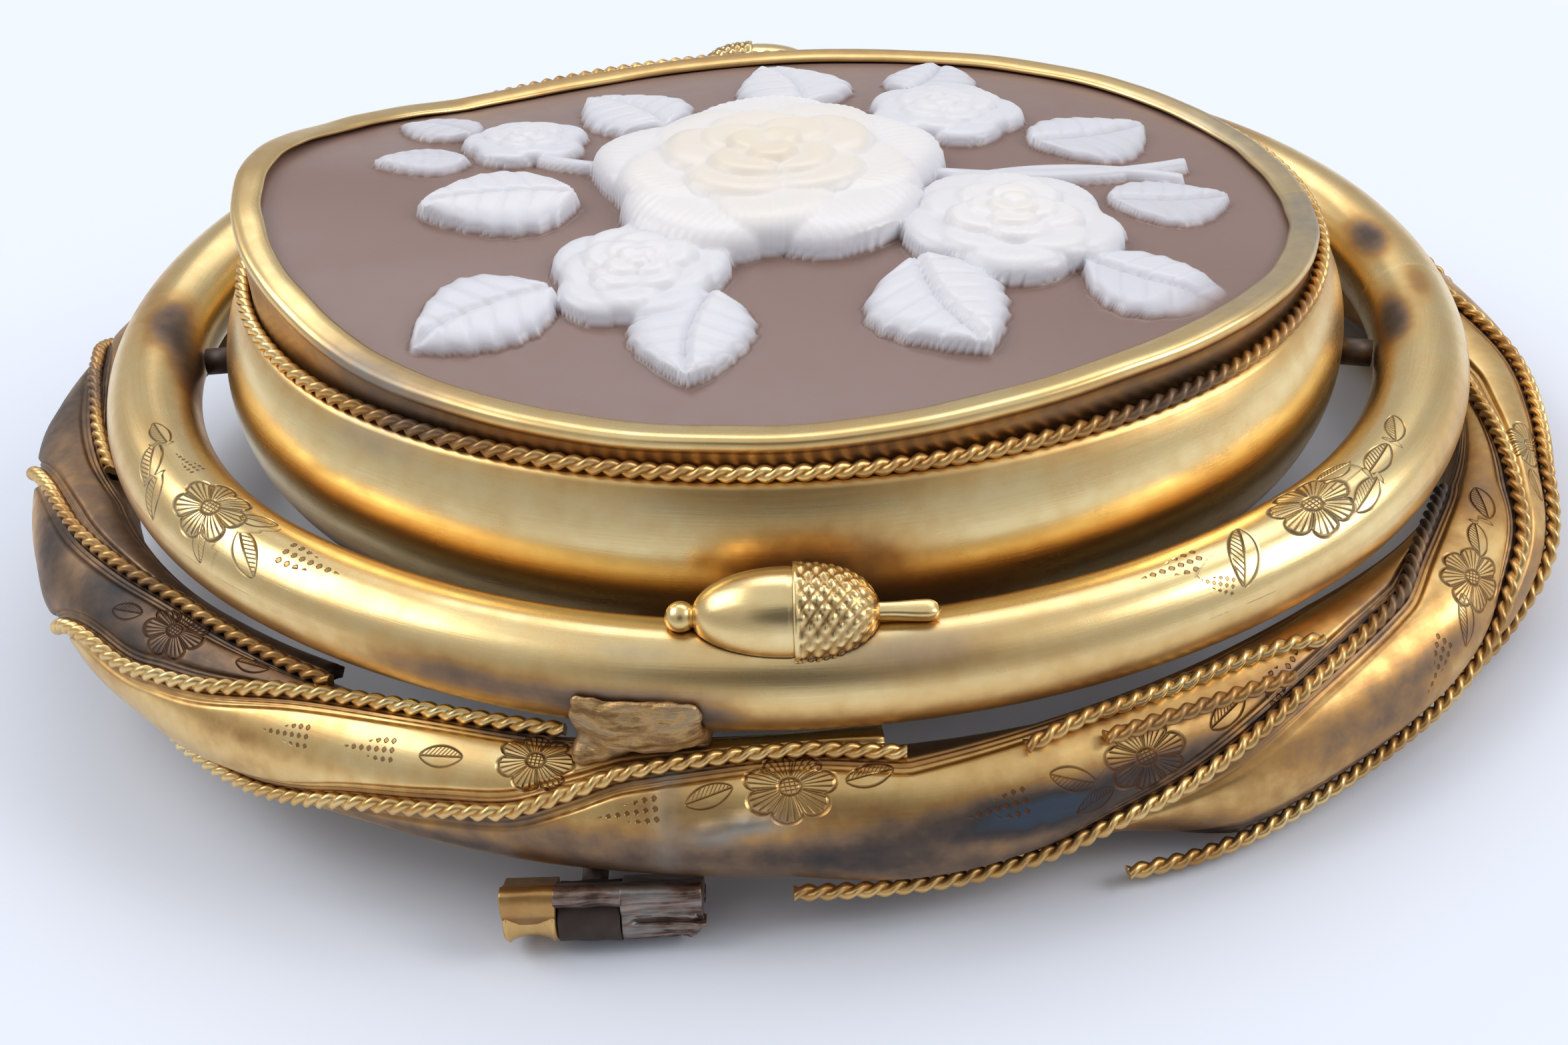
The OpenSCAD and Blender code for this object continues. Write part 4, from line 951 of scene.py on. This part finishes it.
def make_leaf(k):
    front = k in FRONT_LEAVES
    angles, walked = WREATH.walk(wire_rows(k)[0][0] + 1, wire_rows(k + 1)[-1][0] - 1, 2001)
    s = np.linspace(0, walked[-1], int(walked[-1] / (0.3 if front else 0.5)))[:, None]
    a = np.interp(s, walked, angles)
    n_out, n_in = (60 if front else 40), 8
    high = upper_edge(k, a) - LEAF_GAP
    low = np.minimum(upper_edge(k + 1, a) + LEAF_GAP, high - LEAF_LEAST)
    lift_low = upper_lift(k + 1, a)
    lift_more = upper_lift(k, a) - lift_low
    breadth = np.radians(high - low) * LEAF_R
    t = across_places(breadth, n_out)
    climb = low + (high - low) * t
    base = LEAF_R * (1 + lift_low + lift_more * t)
    rise = leaf_profile(t * breadth, breadth, ramp((high - low) / 40))
    across = np.radians(climb) * LEAF_R
    rows = [row[1:] for row in LEAF_MOTIFS if row[0] == k]
    work = engraving_places(s, across, motif_rows(rows, WREATH, LEAF_R, angles, walked))
    repaired = k == REPAIRED_LEAF
    if repaired:
        blobs = spots(a, climb, LEAF_BLOBS)
        rise = rise + blobs * (1 + 0.35 * grain(wreath_point(a, climb, base), 0.7, 3))
    outer = wreath_point(a, climb, base + rise)
    outer = wreath_point(a, climb, base + rise + 0.02 * grain(outer, 5.0, 40 + k) - 0.02)
    back = np.linspace(1, 0, n_in)[None, :]
    climb_in = low + (high - low) * back
    inner = wreath_point(a, climb_in, LEAF_R * (1 + lift_low + lift_more * back) - LEAF_DEPTH)
    tone, marks = LEAF_AGE.get(k, OTHER_LEAF_AGE)
    age_and_shade = spots(a, climb, marks, tone)
    # Darker along both edges of each leaf, next to the wires, where the leaf is not already dark
    margin = 0.5 * np.clip(breadth / FULL_BREADTH, 0.15, 1)
    upper, lower = (t * breadth) / margin, ((1 - t) * breadth) / margin
    age_and_shade = age_and_shade + (0.30 * np.exp(-(upper**4)) + 0.24 * np.exp(-(lower**4))) * (age_and_shade < 0.45)
    grey = spots(a, climb, LEAF_FILM if repaired else [])

    def padded(field, value):
        inside = np.full((len(a), n_in) + field.shape[2:], float(value))
        return np.concatenate([field, inside], 1)

    looks = {"age_and_shade": padded(age_and_shade, 0.7), "grey": padded(grey, 0), "cut": 0.0}
    looks.update({key: padded(field, 0) for key, field in work.items()})
    side = np.concatenate([across, np.radians(climb_in) * LEAF_R], 1)
    points = laid(np.concatenate([outer, inner], 1))
    piece = build("wreath_leaf_%d" % (k + 1), points, capped_faces(len(a), n_out + n_in),
                  material("leaf_gilt"), looks, (s, side))
    turn_outwards(piece)
    return finish_piece(piece, "tarnished_gilt" if tone > 0.3 else "gilt", "leaf_%d" % (k + 1))


# Twisted wires
# Shares of the wire's thickness, and the length in millimetres between a strand's rings
STRAND_SIDE, STRAND_RADIUS = 0.22, 0.33
RING_SPACING = 0.12


def twisted_wire_tree():
    """Geometry Nodes: two strands laid round a path."""
    tree = bpy.data.node_groups.new("twisted_wire", "GeometryNodeTree")
    face = tree.interface
    face.new_socket("Path", in_out="INPUT", socket_type="NodeSocketGeometry")
    for name, value in (("Thickness", 0.0006), ("Lay", 0.0014), ("Ring spacing", 0.00012)):
        face.new_socket(name, in_out="INPUT", socket_type="NodeSocketFloat").default_value = value
    face.new_socket("Metal", in_out="INPUT", socket_type="NodeSocketMaterial")
    face.new_socket("Wire", in_out="OUTPUT", socket_type="NodeSocketGeometry")
    given = add_node(tree, "NodeGroupInput").outputs
    path = {"Curve": given["Path"], "Length": given["Ring spacing"]}
    even = add_node(tree, "GeometryNodeResampleCurve", path, mode="LENGTH").outputs["Curve"]
    walked = Term(add_node(tree, "GeometryNodeSplineParameter").outputs["Length"])
    tilt = {"Curve": even, "Tilt": walked / given["Lay"] * (-2 * math.pi)}
    wound = add_node(tree, "GeometryNodeSetCurveTilt", tilt).outputs["Curve"]
    thick = Term(given["Thickness"])
    circle = {"Resolution": 9, "Radius": thick * STRAND_RADIUS}
    strand = add_node(tree, "GeometryNodeCurvePrimitiveCircle", circle).outputs["Curve"]
    pair = add_node(tree, "GeometryNodeJoinGeometry")
    for side in (STRAND_SIDE, -STRAND_SIDE):
        offset = add_node(tree, "ShaderNodeCombineXYZ", {"X": thick * side}).outputs["Vector"]
        moved = add_node(tree, "GeometryNodeTransform", {"Geometry": strand, "Translation": offset})
        tree.links.new(moved.outputs["Geometry"], pair.inputs["Geometry"])
    sweep = {"Curve": wound, "Profile Curve": pair.outputs["Geometry"], "Fill Caps": True}
    made = add_node(tree, "GeometryNodeCurveToMesh", sweep).outputs["Mesh"]
    smooth = add_node(tree, "GeometryNodeSetShadeSmooth", {"Geometry": made}).outputs["Geometry"]
    real = add_node(tree, "GeometryNodeRealizeInstances", {"Geometry": smooth}).outputs["Geometry"]
    metal = add_node(tree, "GeometryNodeSetMaterial", {"Geometry": real, "Material": given["Metal"]})
    add_node(tree, "NodeGroupOutput", {"Wire": metal.outputs["Geometry"]})
    return tree


def twist(name, path, thickness, lay, closed=False):
    """A twisted wire along a path in metres, through the tree above, as a plain mesh."""
    tree = bpy.data.node_groups.get("twisted_wire") or twisted_wire_tree()
    curve = bpy.data.curves.new(name + "_path", "CURVE")
    curve.dimensions = "3D"
    spline = curve.splines.new("POLY")
    spline.points.add(len(path) - 1)
    spline.points.foreach_set("co", np.concatenate([path, np.ones((len(path), 1))], 1).ravel())
    spline.use_cyclic_u = closed
    holder = in_scene(name + "_path", curve)
    modifier = holder.modifiers.new("twisted_wire", "NODES")
    modifier.node_group = tree
    sockets = {item.name: item.identifier for item in tree.interface.items_tree if item.in_out == "INPUT"}
    for key, length in (("Thickness", thickness), ("Lay", lay), ("Ring spacing", RING_SPACING)):
        modifier[sockets[key]] = length * MM
    modifier[sockets["Metal"]] = material("wire_gilt")
    mesh = bpy.data.meshes.new_from_object(holder.evaluated_get(bpy.context.evaluated_depsgraph_get()))
    mesh.name = name
    bpy.data.objects.remove(holder)
    if not mesh.materials:
        mesh.materials.append(material("wire_gilt"))
    return in_scene(name, mesh)


# Tarnish of the edge wires that show
WIRE_AGE = {0: 0.22, 1: 0.04, 2: 0.05, 3: 0.16, 4: 0.14, 5: 0.2, 11: 0.3}


def finish_wire(piece, node, age_and_shade):
    """age gives every point its age from its place in millimetres, in the frame on the surface."""
    mesh = piece.data
    layer = mesh.attributes.new("age_and_shade", "FLOAT", "POINT")
    layer.data.foreach_set("value", age_and_shade(read_points(mesh) / MM).astype(np.float32))
    return finish_piece(piece, "gilt", node)


def wire_path(rows, radius=None, steps_per_degree=1.2):
    a = np.linspace(rows[0][0], rows[-1][0], int((rows[-1][0] - rows[0][0]) * steps_per_degree) + 2)
    if radius is None:
        radius = LEAF_R * (1 + table_at(rows, a, 2)) + EDGE_WIRE * 0.52
    return laid(wreath_point(a, table_at(rows, a, 1), radius))


def make_wires(settings):
    lay = settings.wire_lay / MM
    a = np.linspace(0, 360, 721)[:-1]
    ring = laid(tilted(COLLAR.stand_off(a, GAP + COLLAR_WIRE / 2, WIRE_PLANE)))
    finish_wire(twist("collar_wire_twisted", ring, COLLAR_WIRE, lay, closed=True), "collar_wire",
                lambda p: 0.16 + 0.22 * np.exp(-((p[:, 0] + 13) / 5) ** 2 - ((p[:, 1] + 15) / 5) ** 2)
                + 0.25 * np.exp(-((p[:, 0] - 16) / 6) ** 2) * (p[:, 1] < 0) + 0.12 * grain(p, 6, 2))
    for k in range(len(WIRES)):
        base, dark_end = WIRE_AGE.get(k, 0.3), 0.45 * (k == 3)
        finish_wire(twist("edge_wire_twisted_%d" % (k + 1), wire_path(wire_rows(k)), EDGE_WIRE, lay),
                    "edge_wire_%d" % (k + 1),
                    lambda p: base + 0.1 * grain(p, 5, k) + dark_end * ease((p[:, 0] - 21) / 5))
    loose = wire_path(LOOSE_WIRE, steps_per_degree=4)
    finish_wire(twist("loose_wire_twisted", loose, EDGE_WIRE, lay), "loose_wire",
                lambda p: 0.08 + 0.3 * np.exp(-((p[:, 0] - 8.3) / 1.0) ** 2) + 0.1 * grain(p, 5, 77))
    inner = wire_path(INNER_WIRE, LEAF_R + LEAF_SWELL + WIRE_SEAT, 3)
    finish_wire(twist("inner_wire_twisted", inner, EDGE_WIRE, lay), "inner_wire",
                lambda p: 0.3 + 0.1 * grain(p, 5, 78))


# Acorns
ACORN_LONG, ACORN_THICK, CUP_SHARE = 6.7, 3.7, 0.455
TIP_R, TIP_OUT = 0.575, 0.345
STALK_LONG, STALK_WIDE, STALK_THICK = 2.1, 0.375, 0.30
CROSS_CUTS, CUT_ROWS = 15, 5.6
CUP_RIM = 0.05


def make_acorn(name, node, seat, sink, shift, turn):
    """Stamped acorn: cross-cut cup, smooth nut, ball tip and flat stalk."""
    nut, cup = ACORN_LONG * (1 - CUP_SHARE), ACORN_LONG * CUP_SHARE
    half = ACORN_THICK / 2
    parts, faces, cuts = [], [], []

    def add(x, y, z, cut=0.0):
        grid = np.stack(np.broadcast_arrays(x, y, z), -1)
        faces.extend(capped_faces(*grid.shape[:2], sum(len(p) for p in parts)))
        cuts.append(np.broadcast_to(cut, grid.shape[:2]).ravel())
        parts.append(grid.reshape(-1, 3))

    w = np.radians(np.linspace(0, 360, 96, endpoint=False))[None, :]
    u = np.linspace(0, 0.985, 44)[:, None]
    waves = [(u * CUT_ROWS + hand * w / (2 * math.pi) * CROSS_CUTS) % 1 for hand in (1, -1)]
    boss = ramp(np.minimum(abs(waves[0] - 0.5), abs(waves[1] - 0.5)) * 3)
    r = half * np.sqrt(ramp(1 - u**2.6)) * (0.925 + 0.075 * boss)
    r = np.where(u < CUP_RIM, half, r)
    add(u * cup, r * np.cos(-w), r * np.sin(-w), (1 - boss) * (u > CUP_RIM) * 0.8)
    t = np.linspace(0, 1, 36)[:, None]
    r = half * 0.92 * np.sqrt(ramp(1 - t**2.4 * 0.965)) * (1 - 0.02 * np.exp(-((t - 0.02) / 0.02) ** 2))
    add(CUP_RIM - t * nut, r * np.cos(w), r * np.sin(w))
    w = np.radians(np.linspace(0, 360, 28, endpoint=False))[None, :]
    p = np.radians(np.linspace(4, 176, 18))[:, None]
    add(TIP_R * np.cos(p) - nut - TIP_OUT, TIP_R * np.sin(p) * np.cos(w), TIP_R * np.sin(p) * np.sin(w))
    t = np.linspace(0, 1, 26)[:, None]
    end = np.sqrt(np.clip(1 - ramp((t - 0.82) / 0.18) ** 2, 0.0004, 1))
    waist = 0.8 + 0.2 * ease((t - 0.3) / 0.5)
    square = lambda v: np.sign(v) * abs(v) ** 0.6
    stalk = cup * 0.8 + t * (STALK_LONG + cup * 0.2)
    add(stalk, -STALK_WIDE * waist * end * square(np.cos(w)), STALK_THICK * end * square(np.sin(w)))
    shape = np.concatenate(parts)
    cut = np.concatenate(cuts)
    seat = math.radians(seat)
    out = TUBE_R + ACORN_THICK * (0.5 - sink)
    c, s = math.cos(seat - math.pi / 2), math.sin(seat - math.pi / 2)
    x, y, z = shape.T
    # Places across the tube, from its middle line, where no part may dip into the tube
    y, z = y * c - z * s - out * math.cos(seat), y * s + z * c + out * math.sin(seat)
    reach = np.hypot(y, z)
    lift = np.where(reach < TUBE_R + GAP, (TUBE_R + GAP) / np.maximum(reach, 0.05), 1)
    placed = np.stack([x + shift, y * lift - RING_HALF[1], z * lift], -1)
    if turn:
        placed[:, :2] *= -1
    age_and_shade = 0.03 + 0.35 * np.exp(-((reach - TUBE_R) / 0.35) ** 2) + 0.2 * cut
    piece = build(name, laid(placed), faces, material("bright_gilt"), {"age_and_shade": age_and_shade, "cut": cut, "grey": 0.0},
                  (x * 3, shape[:, 1]))
    turn_outwards(piece)
    return finish_piece(piece, "gilt", node)


# Repair, hinge and pin
def make_repair():
    """Old soft-solder repair: the CAD lump, made fine and pitted."""
    work = bmesh.new()
    work.from_mesh(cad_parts["solder_lump"].data)
    bmesh.ops.remove_doubles(work, verts=work.verts, dist=1e-6)
    bmesh.ops.recalc_face_normals(work, faces=work.faces)
    mesh = bpy.data.meshes.new("solder_repair")
    work.to_mesh(mesh)
    work.free()
    piece = in_scene("solder_repair", mesh)
    modifier = piece.modifiers.new("soften", "SUBSURF")
    modifier.levels = modifier.render_levels = 3
    fine = bpy.data.meshes.new_from_object(piece.evaluated_get(bpy.context.evaluated_depsgraph_get()))
    piece.modifiers.clear()
    piece.data = fine
    fine.name = "solder_repair"
    co, normal = read_points(fine), read_points(fine, "normal")
    swell = 0.12 + 0.10 * grain(co / MM, 1.4, 5) + 0.05 * grain(co / MM, 0.5, 6)
    fine.vertices.foreach_set("co", (co + normal * swell[:, None] * MM).ravel())
    fine.polygons.foreach_set("use_smooth", [True] * len(fine.polygons))
    fine.materials.clear()
    fine.materials.append(material("solder"))
    return finish_piece(piece, "solder", "solder_lump")


BORE = 0.45
STRIP_REACH = 0.9


def barrel(start, long, shape, rounds=72, steps=40):
    """Points and faces of a hollow knuckle along X. shape(x share, angle) gives the outer radius."""
    w = np.radians(np.linspace(0, 360, rounds, endpoint=False))[None, :]
    t = np.linspace(0, 1, steps)[:, None]
    r, x_shift = shape(t, w)
    x = np.broadcast_to(start + t * long + x_shift, (steps, rounds))
    outer = np.stack([x, r * np.cos(w), r * np.sin(w)], -1)
    inner = np.stack(np.broadcast_arrays(x[::-1], BORE * np.cos(w), BORE * np.sin(w)), -1)
    return np.concatenate([outer, inner]).reshape(-1, 3), grid_faces(2 * steps, rounds)


def seat_strip(start, long, low):
    """The worn strip that the knuckles hang from, under the wreath's flank."""
    x = np.linspace(start, start + long, 40)
    top = BARREL_R + KNUCKLE_GAP + 0.55
    outline = [(-0.85, low), (-0.9, (low + top) / 2), (-0.80, top), (-0.55, top + 0.04)]
    for z in np.linspace(top, low, 6):
        square = (LEAF_R + LEAF_SWELL + GAP) ** 2 - (z - FLANK_OUT * math.sin(FLANK)) ** 2
        y = FLANK_OUT * math.cos(FLANK) - math.sqrt(square) if square > 0 else STRIP_REACH
        outline.append((min(y, STRIP_REACH), z))
    ring = np.array(outline)
    points = np.stack(np.broadcast_arrays(x[:, None], ring[:, 0], ring[:, 1]), -1)
    points[..., 1] += np.where(points[..., 1] < 0, 0.05 * grain(points, 1.2, 9), 0)
    return points.reshape(-1, 3), capped_faces(len(x), len(ring))


def joined(name, blocks, metal, ages):
    """One piece from several blocks of (points, faces) in the hinge's frame, each with its own age."""
    faces, start = [], 0
    for points, block_faces in blocks:
        faces += [[int(i) + start for i in f] for f in block_faces]
        start += len(points)
    points = np.concatenate([block[0] for block in blocks]) + np.array([0, -AXIS_Y, AXIS_Z])
    age_and_shade = np.repeat(ages, [len(block[0]) for block in blocks])
    piece = build(name, laid(points), faces, metal, {"age_and_shade": age_and_shade, "grey": 0.0, "cut": 0.0})
    turn_outwards(piece)
    return piece


def around(w, degrees):
    """How far an angle lies from this direction, from -pi to pi."""
    return (w - math.radians(degrees) + math.pi) % (2 * math.pi) - math.pi


def make_hinge():
    def spool(t, w):
        waist = 0.26 * np.sin(math.pi * ramp((t - 0.08) / 0.84)) ** 0.6
        ends = 0.1 * np.exp(-((t / 0.05) ** 2)) + 0.1 * np.exp(-(((t - 1.0) / 0.05) ** 2))
        return 1.12 - waist - ends + 0.012 * np.sin(3 * w + 1), 0.0

    def torn(t, w):
        slit = 0.42 * np.exp(-((around(w, 158) / 0.13) ** 2)) * ease((t - 0.05) / 0.2)
        short_slit = 0.25 * np.exp(-((around(w, 205) / 0.08) ** 2)) * (t > 0.5)
        fibres = 0.035 * np.sin(w * 23 + 3 * np.sin(t * 5)) + 0.02 * np.sin(w * 41 + t * 9)
        ragged = 1.08 - slit - short_slit + fibres * ease(t / 0.2)
        ragged = ragged - 0.16 * np.sin(2 * w + 0.6) * t + 0.10 * np.exp(-(((t - 0.93) / 0.06) ** 2))
        teeth = np.sin(2 * w + 1.9) * 0.7 + np.sin(7 * w) * 0.2 + np.sin(11 * w + 1) * 0.12 - 0.75
        return np.clip(ragged, 0.5, 1.15), 0.42 * ease((t - 0.7) / 0.3) * teeth

    gold = [barrel(-HINGE_LEFT, KNUCKLE_GOLD, spool), seat_strip(-HINGE_LEFT, KNUCKLE_GOLD, 0.3)]
    piece = joined("hinge_gold_knuckle", gold, material("wire_gilt"), [0.16, 0.3])
    finish_piece(piece, "tarnished_gilt", "hinge")
    burnt = [barrel(TORN_FROM, KNUCKLE_TORN, torn, 120, 60), seat_strip(TORN_FROM, KNUCKLE_TORN, 0.3),
             seat_strip(PIN_FROM - 0.1, KNUCKLE_PIN + 0.2, BARREL_R + KNUCKLE_GAP)]
    piece = joined("hinge_torn_knuckle", burnt, material("burnt"), [0.5, 0.6, 0.6])
    finish_piece(piece, "tarnished_gilt")


def make_pin():
    """Middle knuckle and straight tapered stem in one."""
    def dark(t, w):
        return 1.11 + 0.03 * np.sin(5 * w + 4 * t) * np.sin(7 * t + w), 0.0

    sides, point_long, stem_r = 24, 3, 0.5
    far = 2 * AXIS_Y - 0.5
    w = np.radians(np.linspace(0, 360, sides, endpoint=False))[None, :]
    shank = np.linspace(BARREL_R * 0.8, far - point_long, 30)
    y = np.concatenate([shank, np.linspace(far - point_long, far, 12)[1:]])[:, None]
    r = np.minimum(stem_r * ramp((far - y) / point_long) ** 0.6 + 0.02, stem_r)
    stem = np.stack(np.broadcast_arrays(PIN_X + r * np.cos(w), y, r * np.sin(w)), -1).reshape(-1, 3)
    blocks = [barrel(PIN_FROM, KNUCKLE_PIN, dark), (stem, capped_faces(len(y), sides))]
    piece = joined("pin_and_knuckle", blocks, material("pin_metal"), [0.4, 0.1])
    return finish_piece(piece, "pin_metal", "pin")


def dress_plain_nodes():
    """The pieces that keep their CAD shape get their metal."""
    for node in ("wreath_tube", "catch"):
        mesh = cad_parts[node].data
        for i in range(len(mesh.materials)):
            mesh.materials[i] = material("core_gilt")
        if not mesh.materials:
            mesh.materials.append(material("core_gilt"))


# Stage. The camera's lengths are in millimetres and its focal length in the photograph's pixels.
PHOTO_WIDTH = 2352
SENSOR = 36
AZIMUTH, ELEVATION, ROLL = math.radians(1.272), math.radians(38.236), math.radians(-2.509)
DISTANCE, FOCAL, TARGET = 90.005, 2689.67, (-0.382, 0, -11.879)
FLOOR_HALF = 3.0
LAMP_AIM = np.array([0, 0, 0.01])
# Name, place and size in metres, power, colour
LAMPS = [
    ("softbox_left", (-0.30, 0.06, 0.36), (0.34, 0.26), 0.9, "#FFFFFF"),
    ("softbox_back", (0.10, 0.30, 0.42), (0.5, 0.22), 0.6, "#F4F8FF"),
    ("softbox_right", (0.36, -0.04, 0.24), (0.18, 0.26), 0.7, "#FFFFFF"),
]
# Sky from the horizon to straight up, and its darker patch: direction, and cosines of its edges
SKY = [(0.0, "#F2F3F6"), (0.12, "#DADCE2"), (0.4, "#C9CCD4"), (0.75, "#E9ECF2"), (1.0, "#F4F6FA")]
PATCH_TOWARD, PATCH_OUTER, PATCH_INNER = (0.02, -0.79, 0.61), 0.88, 0.98


def turned(v):
    """A direction of the brooch's frame in the frame on the surface."""
    c, s = math.cos(REST_TILT), math.sin(REST_TILT)
    return np.array([v[0] * c + v[2] * s, v[1], v[2] * c - v[0] * s])


def axes_from(back):
    """The sideways and upward axes of something that looks along -back, held level."""
    side = np.cross([0, 0, 1], back)
    side /= np.linalg.norm(side)
    return side, np.cross(back, side)


def world_matrix(*columns):
    return Matrix(np.stack(columns, 1).tolist() + [[0, 0, 0, 1]])


def make_camera():
    flat = math.cos(ELEVATION)
    back = np.array([math.sin(AZIMUTH) * flat, -math.cos(AZIMUTH) * flat, math.sin(ELEVATION)])
    side, up = axes_from(back)
    right = math.cos(ROLL) * side + math.sin(ROLL) * up
    over = math.cos(ROLL) * up - math.sin(ROLL) * side
    camera = bpy.data.cameras.new("camera")
    camera.sensor_width = SENSOR
    camera.sensor_fit = "HORIZONTAL"
    camera.lens = FOCAL / PHOTO_WIDTH * SENSOR
    camera.clip_start = 0.005
    holder = in_scene("camera", camera)
    place = laid(np.array(TARGET) + back * DISTANCE)
    holder.matrix_world = world_matrix(turned(right), turned(over), turned(back), place)
    bpy.context.scene.camera = holder


def make_floor():
    floor = bpy.data.meshes.new("floor")
    corners = [(x * FLOOR_HALF, y * FLOOR_HALF, 0) for x, y in ((-1, -1), (1, -1), (1, 1), (-1, 1))]
    floor.from_pydata(corners, [], [(0, 1, 2, 3)])
    item, _, _ = new_material("white_card")
    floor.materials.append(shaded(item, {"Base Color": linear("#E4E9F3"), "Roughness": 0.75}))
    in_scene("floor", floor)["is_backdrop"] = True


def make_sky(daylight):
    """Even pale light from all round, with one darker patch towards the viewer that the gold mirrors."""
    world = bpy.data.worlds.new("studio")
    bpy.context.scene.world = world
    world.use_nodes = True
    tree = world.node_tree
    tree.nodes.clear()
    direction = add_node(tree, "ShaderNodeTexCoord").outputs["Generated"]
    rise = add_node(tree, "ShaderNodeSeparateXYZ", {"Vector": direction}).outputs["Z"]
    sky = add_node(tree, "ShaderNodeValToRGB", {"Fac": rise}, SKY).outputs["Color"]
    pair = {0: direction, 1: PATCH_TOWARD}
    toward = add_node(tree, "ShaderNodeVectorMath", pair, operation="DOT_PRODUCT").outputs["Value"]
    patch = {"Value": toward, "From Min": PATCH_OUTER, "From Max": PATCH_INNER}
    shade = add_node(tree, "ShaderNodeMapRange", patch, interpolation_type="SMOOTHSTEP").outputs["Result"]
    pair = {0: shade, 6: sky, 7: linear("#6A686A")}
    sky = add_node(tree, "ShaderNodeMix", pair, data_type="RGBA").outputs[2]
    background = add_node(tree, "ShaderNodeBackground", {"Color": sky, "Strength": daylight})
    add_node(tree, "ShaderNodeOutputWorld", {"Surface": background.outputs["Background"]})


def make_stage(settings):
    make_camera()
    make_floor()
    make_sky(settings.daylight)
    for name, spot, size, power, tint in LAMPS:
        light = bpy.data.lights.new(name, "AREA")
        light.shape = "RECTANGLE"
        light.size, light.size_y = size
        light.energy = power * settings.lamp_power
        light.color = linear(tint)[:3]
        axis = np.array(spot) - LAMP_AIM
        axis /= np.linalg.norm(axis)
        in_scene(name, light).matrix_world = world_matrix(*axes_from(axis), axis, spot)
    bpy.context.scene.view_settings.view_transform = "Standard"


# Add-on
class BroochSettings(bpy.types.PropertyGroup):
    carving_height: bpy.props.FloatProperty(
        name="Carving height", description="Height of the tallest carving, in millimetres",
        default=2.6, min=0.5, max=4)
    engraving_depth: bpy.props.FloatProperty(
        name="Engraving depth", description="Depth of the engraved lines, in millimetres",
        default=0.08, min=0, max=0.2)
    wire_lay: bpy.props.FloatProperty(
        name="Wire lay", description="Length of one full turn of the twisted wires",
        default=0.0014, min=0.0006, max=0.004, unit="LENGTH", subtype="DISTANCE")
    daylight: bpy.props.FloatProperty(
        name="Daylight", description="Strength of the studio's even light", default=0.74, min=0, max=5)
    lamp_power: bpy.props.FloatProperty(
        name="Lamp power", description="Share of the softboxes' full power", default=1.0, min=0, max=10)


class ShellOperator(bpy.types.Operator):
    """Carved shell cameo"""
    bl_idname = "brooch.shell"
    bl_label = "Carved shell"

    def execute(self, context):
        make_shell(context.scene.brooch)
        return {"FINISHED"}


class SettingOperator(bpy.types.Operator):
    """Rolled bezel and bulged gallery"""
    bl_idname = "brooch.setting"
    bl_label = "Bezel and gallery"

    def execute(self, context):
        make_bezel()
        make_gallery()
        return {"FINISHED"}


class TubeOperator(bpy.types.Operator):
    """Engraved tube ring"""
    bl_idname = "brooch.tube"
    bl_label = "Tube ring"

    def execute(self, context):
        make_tube_ring()
        return {"FINISHED"}


class AcornOperator(bpy.types.Operator):
    """Acorns on the tube ring"""
    bl_idname = "brooch.acorns"
    bl_label = "Acorns"

    def execute(self, context):
        make_acorn("acorn_front_stamped", "acorn_front", 104, 0.39, 0.35, False)
        make_acorn("acorn_back_stamped", "acorn_back", 118, 0.5, 1.5, True)
        return {"FINISHED"}


class WreathOperator(bpy.types.Operator):
    """Engraved hollow leaves of the wreath"""
    bl_idname = "brooch.wreath"
    bl_label = "Wreath leaves"

    def execute(self, context):
        for k in range(len(WIRES)):
            make_leaf(k)
        return {"FINISHED"}


class WireOperator(bpy.types.Operator):
    """Twisted wires of collar and wreath"""
    bl_idname = "brooch.wires"
    bl_label = "Twisted wires"

    def execute(self, context):
        make_wires(context.scene.brooch)
        return {"FINISHED"}


class HingeOperator(bpy.types.Operator):
    """Hinge, pin, solder repair and the plain pieces"""
    bl_idname = "brooch.hinge"
    bl_label = "Hinge, pin and repair"

    def execute(self, context):
        make_hinge()
        make_pin()
        make_repair()
        dress_plain_nodes()
        return {"FINISHED"}


class StageOperator(bpy.types.Operator):
    """Camera, floor and lights"""
    bl_idname = "brooch.stage"
    bl_label = "Stage"

    def execute(self, context):
        make_stage(context.scene.brooch)
        return {"FINISHED"}


class BroochPanel(bpy.types.Panel):
    bl_idname = "VIEW3D_PT_brooch"
    bl_label = "Cameo brooch"
    bl_space_type = "VIEW_3D"
    bl_region_type = "UI"
    bl_category = "Brooch"

    def draw(self, context):
        for name in ("carving_height", "engraving_depth", "wire_lay", "daylight", "lamp_power"):
            self.layout.prop(context.scene.brooch, name)
        for operator in OPERATORS:
            self.layout.operator(operator.bl_idname)


OPERATORS = (ShellOperator, SettingOperator, TubeOperator, AcornOperator, WreathOperator, WireOperator,
             HingeOperator, StageOperator)
CLASSES = (BroochSettings, *OPERATORS, BroochPanel)


def register():
    for item in CLASSES:
        bpy.utils.register_class(item)
    bpy.types.Scene.brooch = bpy.props.PointerProperty(type=BroochSettings)


def unregister():
    del bpy.types.Scene.brooch
    for item in reversed(CLASSES):
        bpy.utils.unregister_class(item)


def main():
    register()
    for operator in OPERATORS:
        group, name = operator.bl_idname.split(".")
        getattr(getattr(bpy.ops, group), name)()
    boxes = {key: [list(map(float, corner)) for corner in box]
             for key, box in (("cad", CAD_BOX), ("visual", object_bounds()))}


if __name__ == "__main__":
    main()
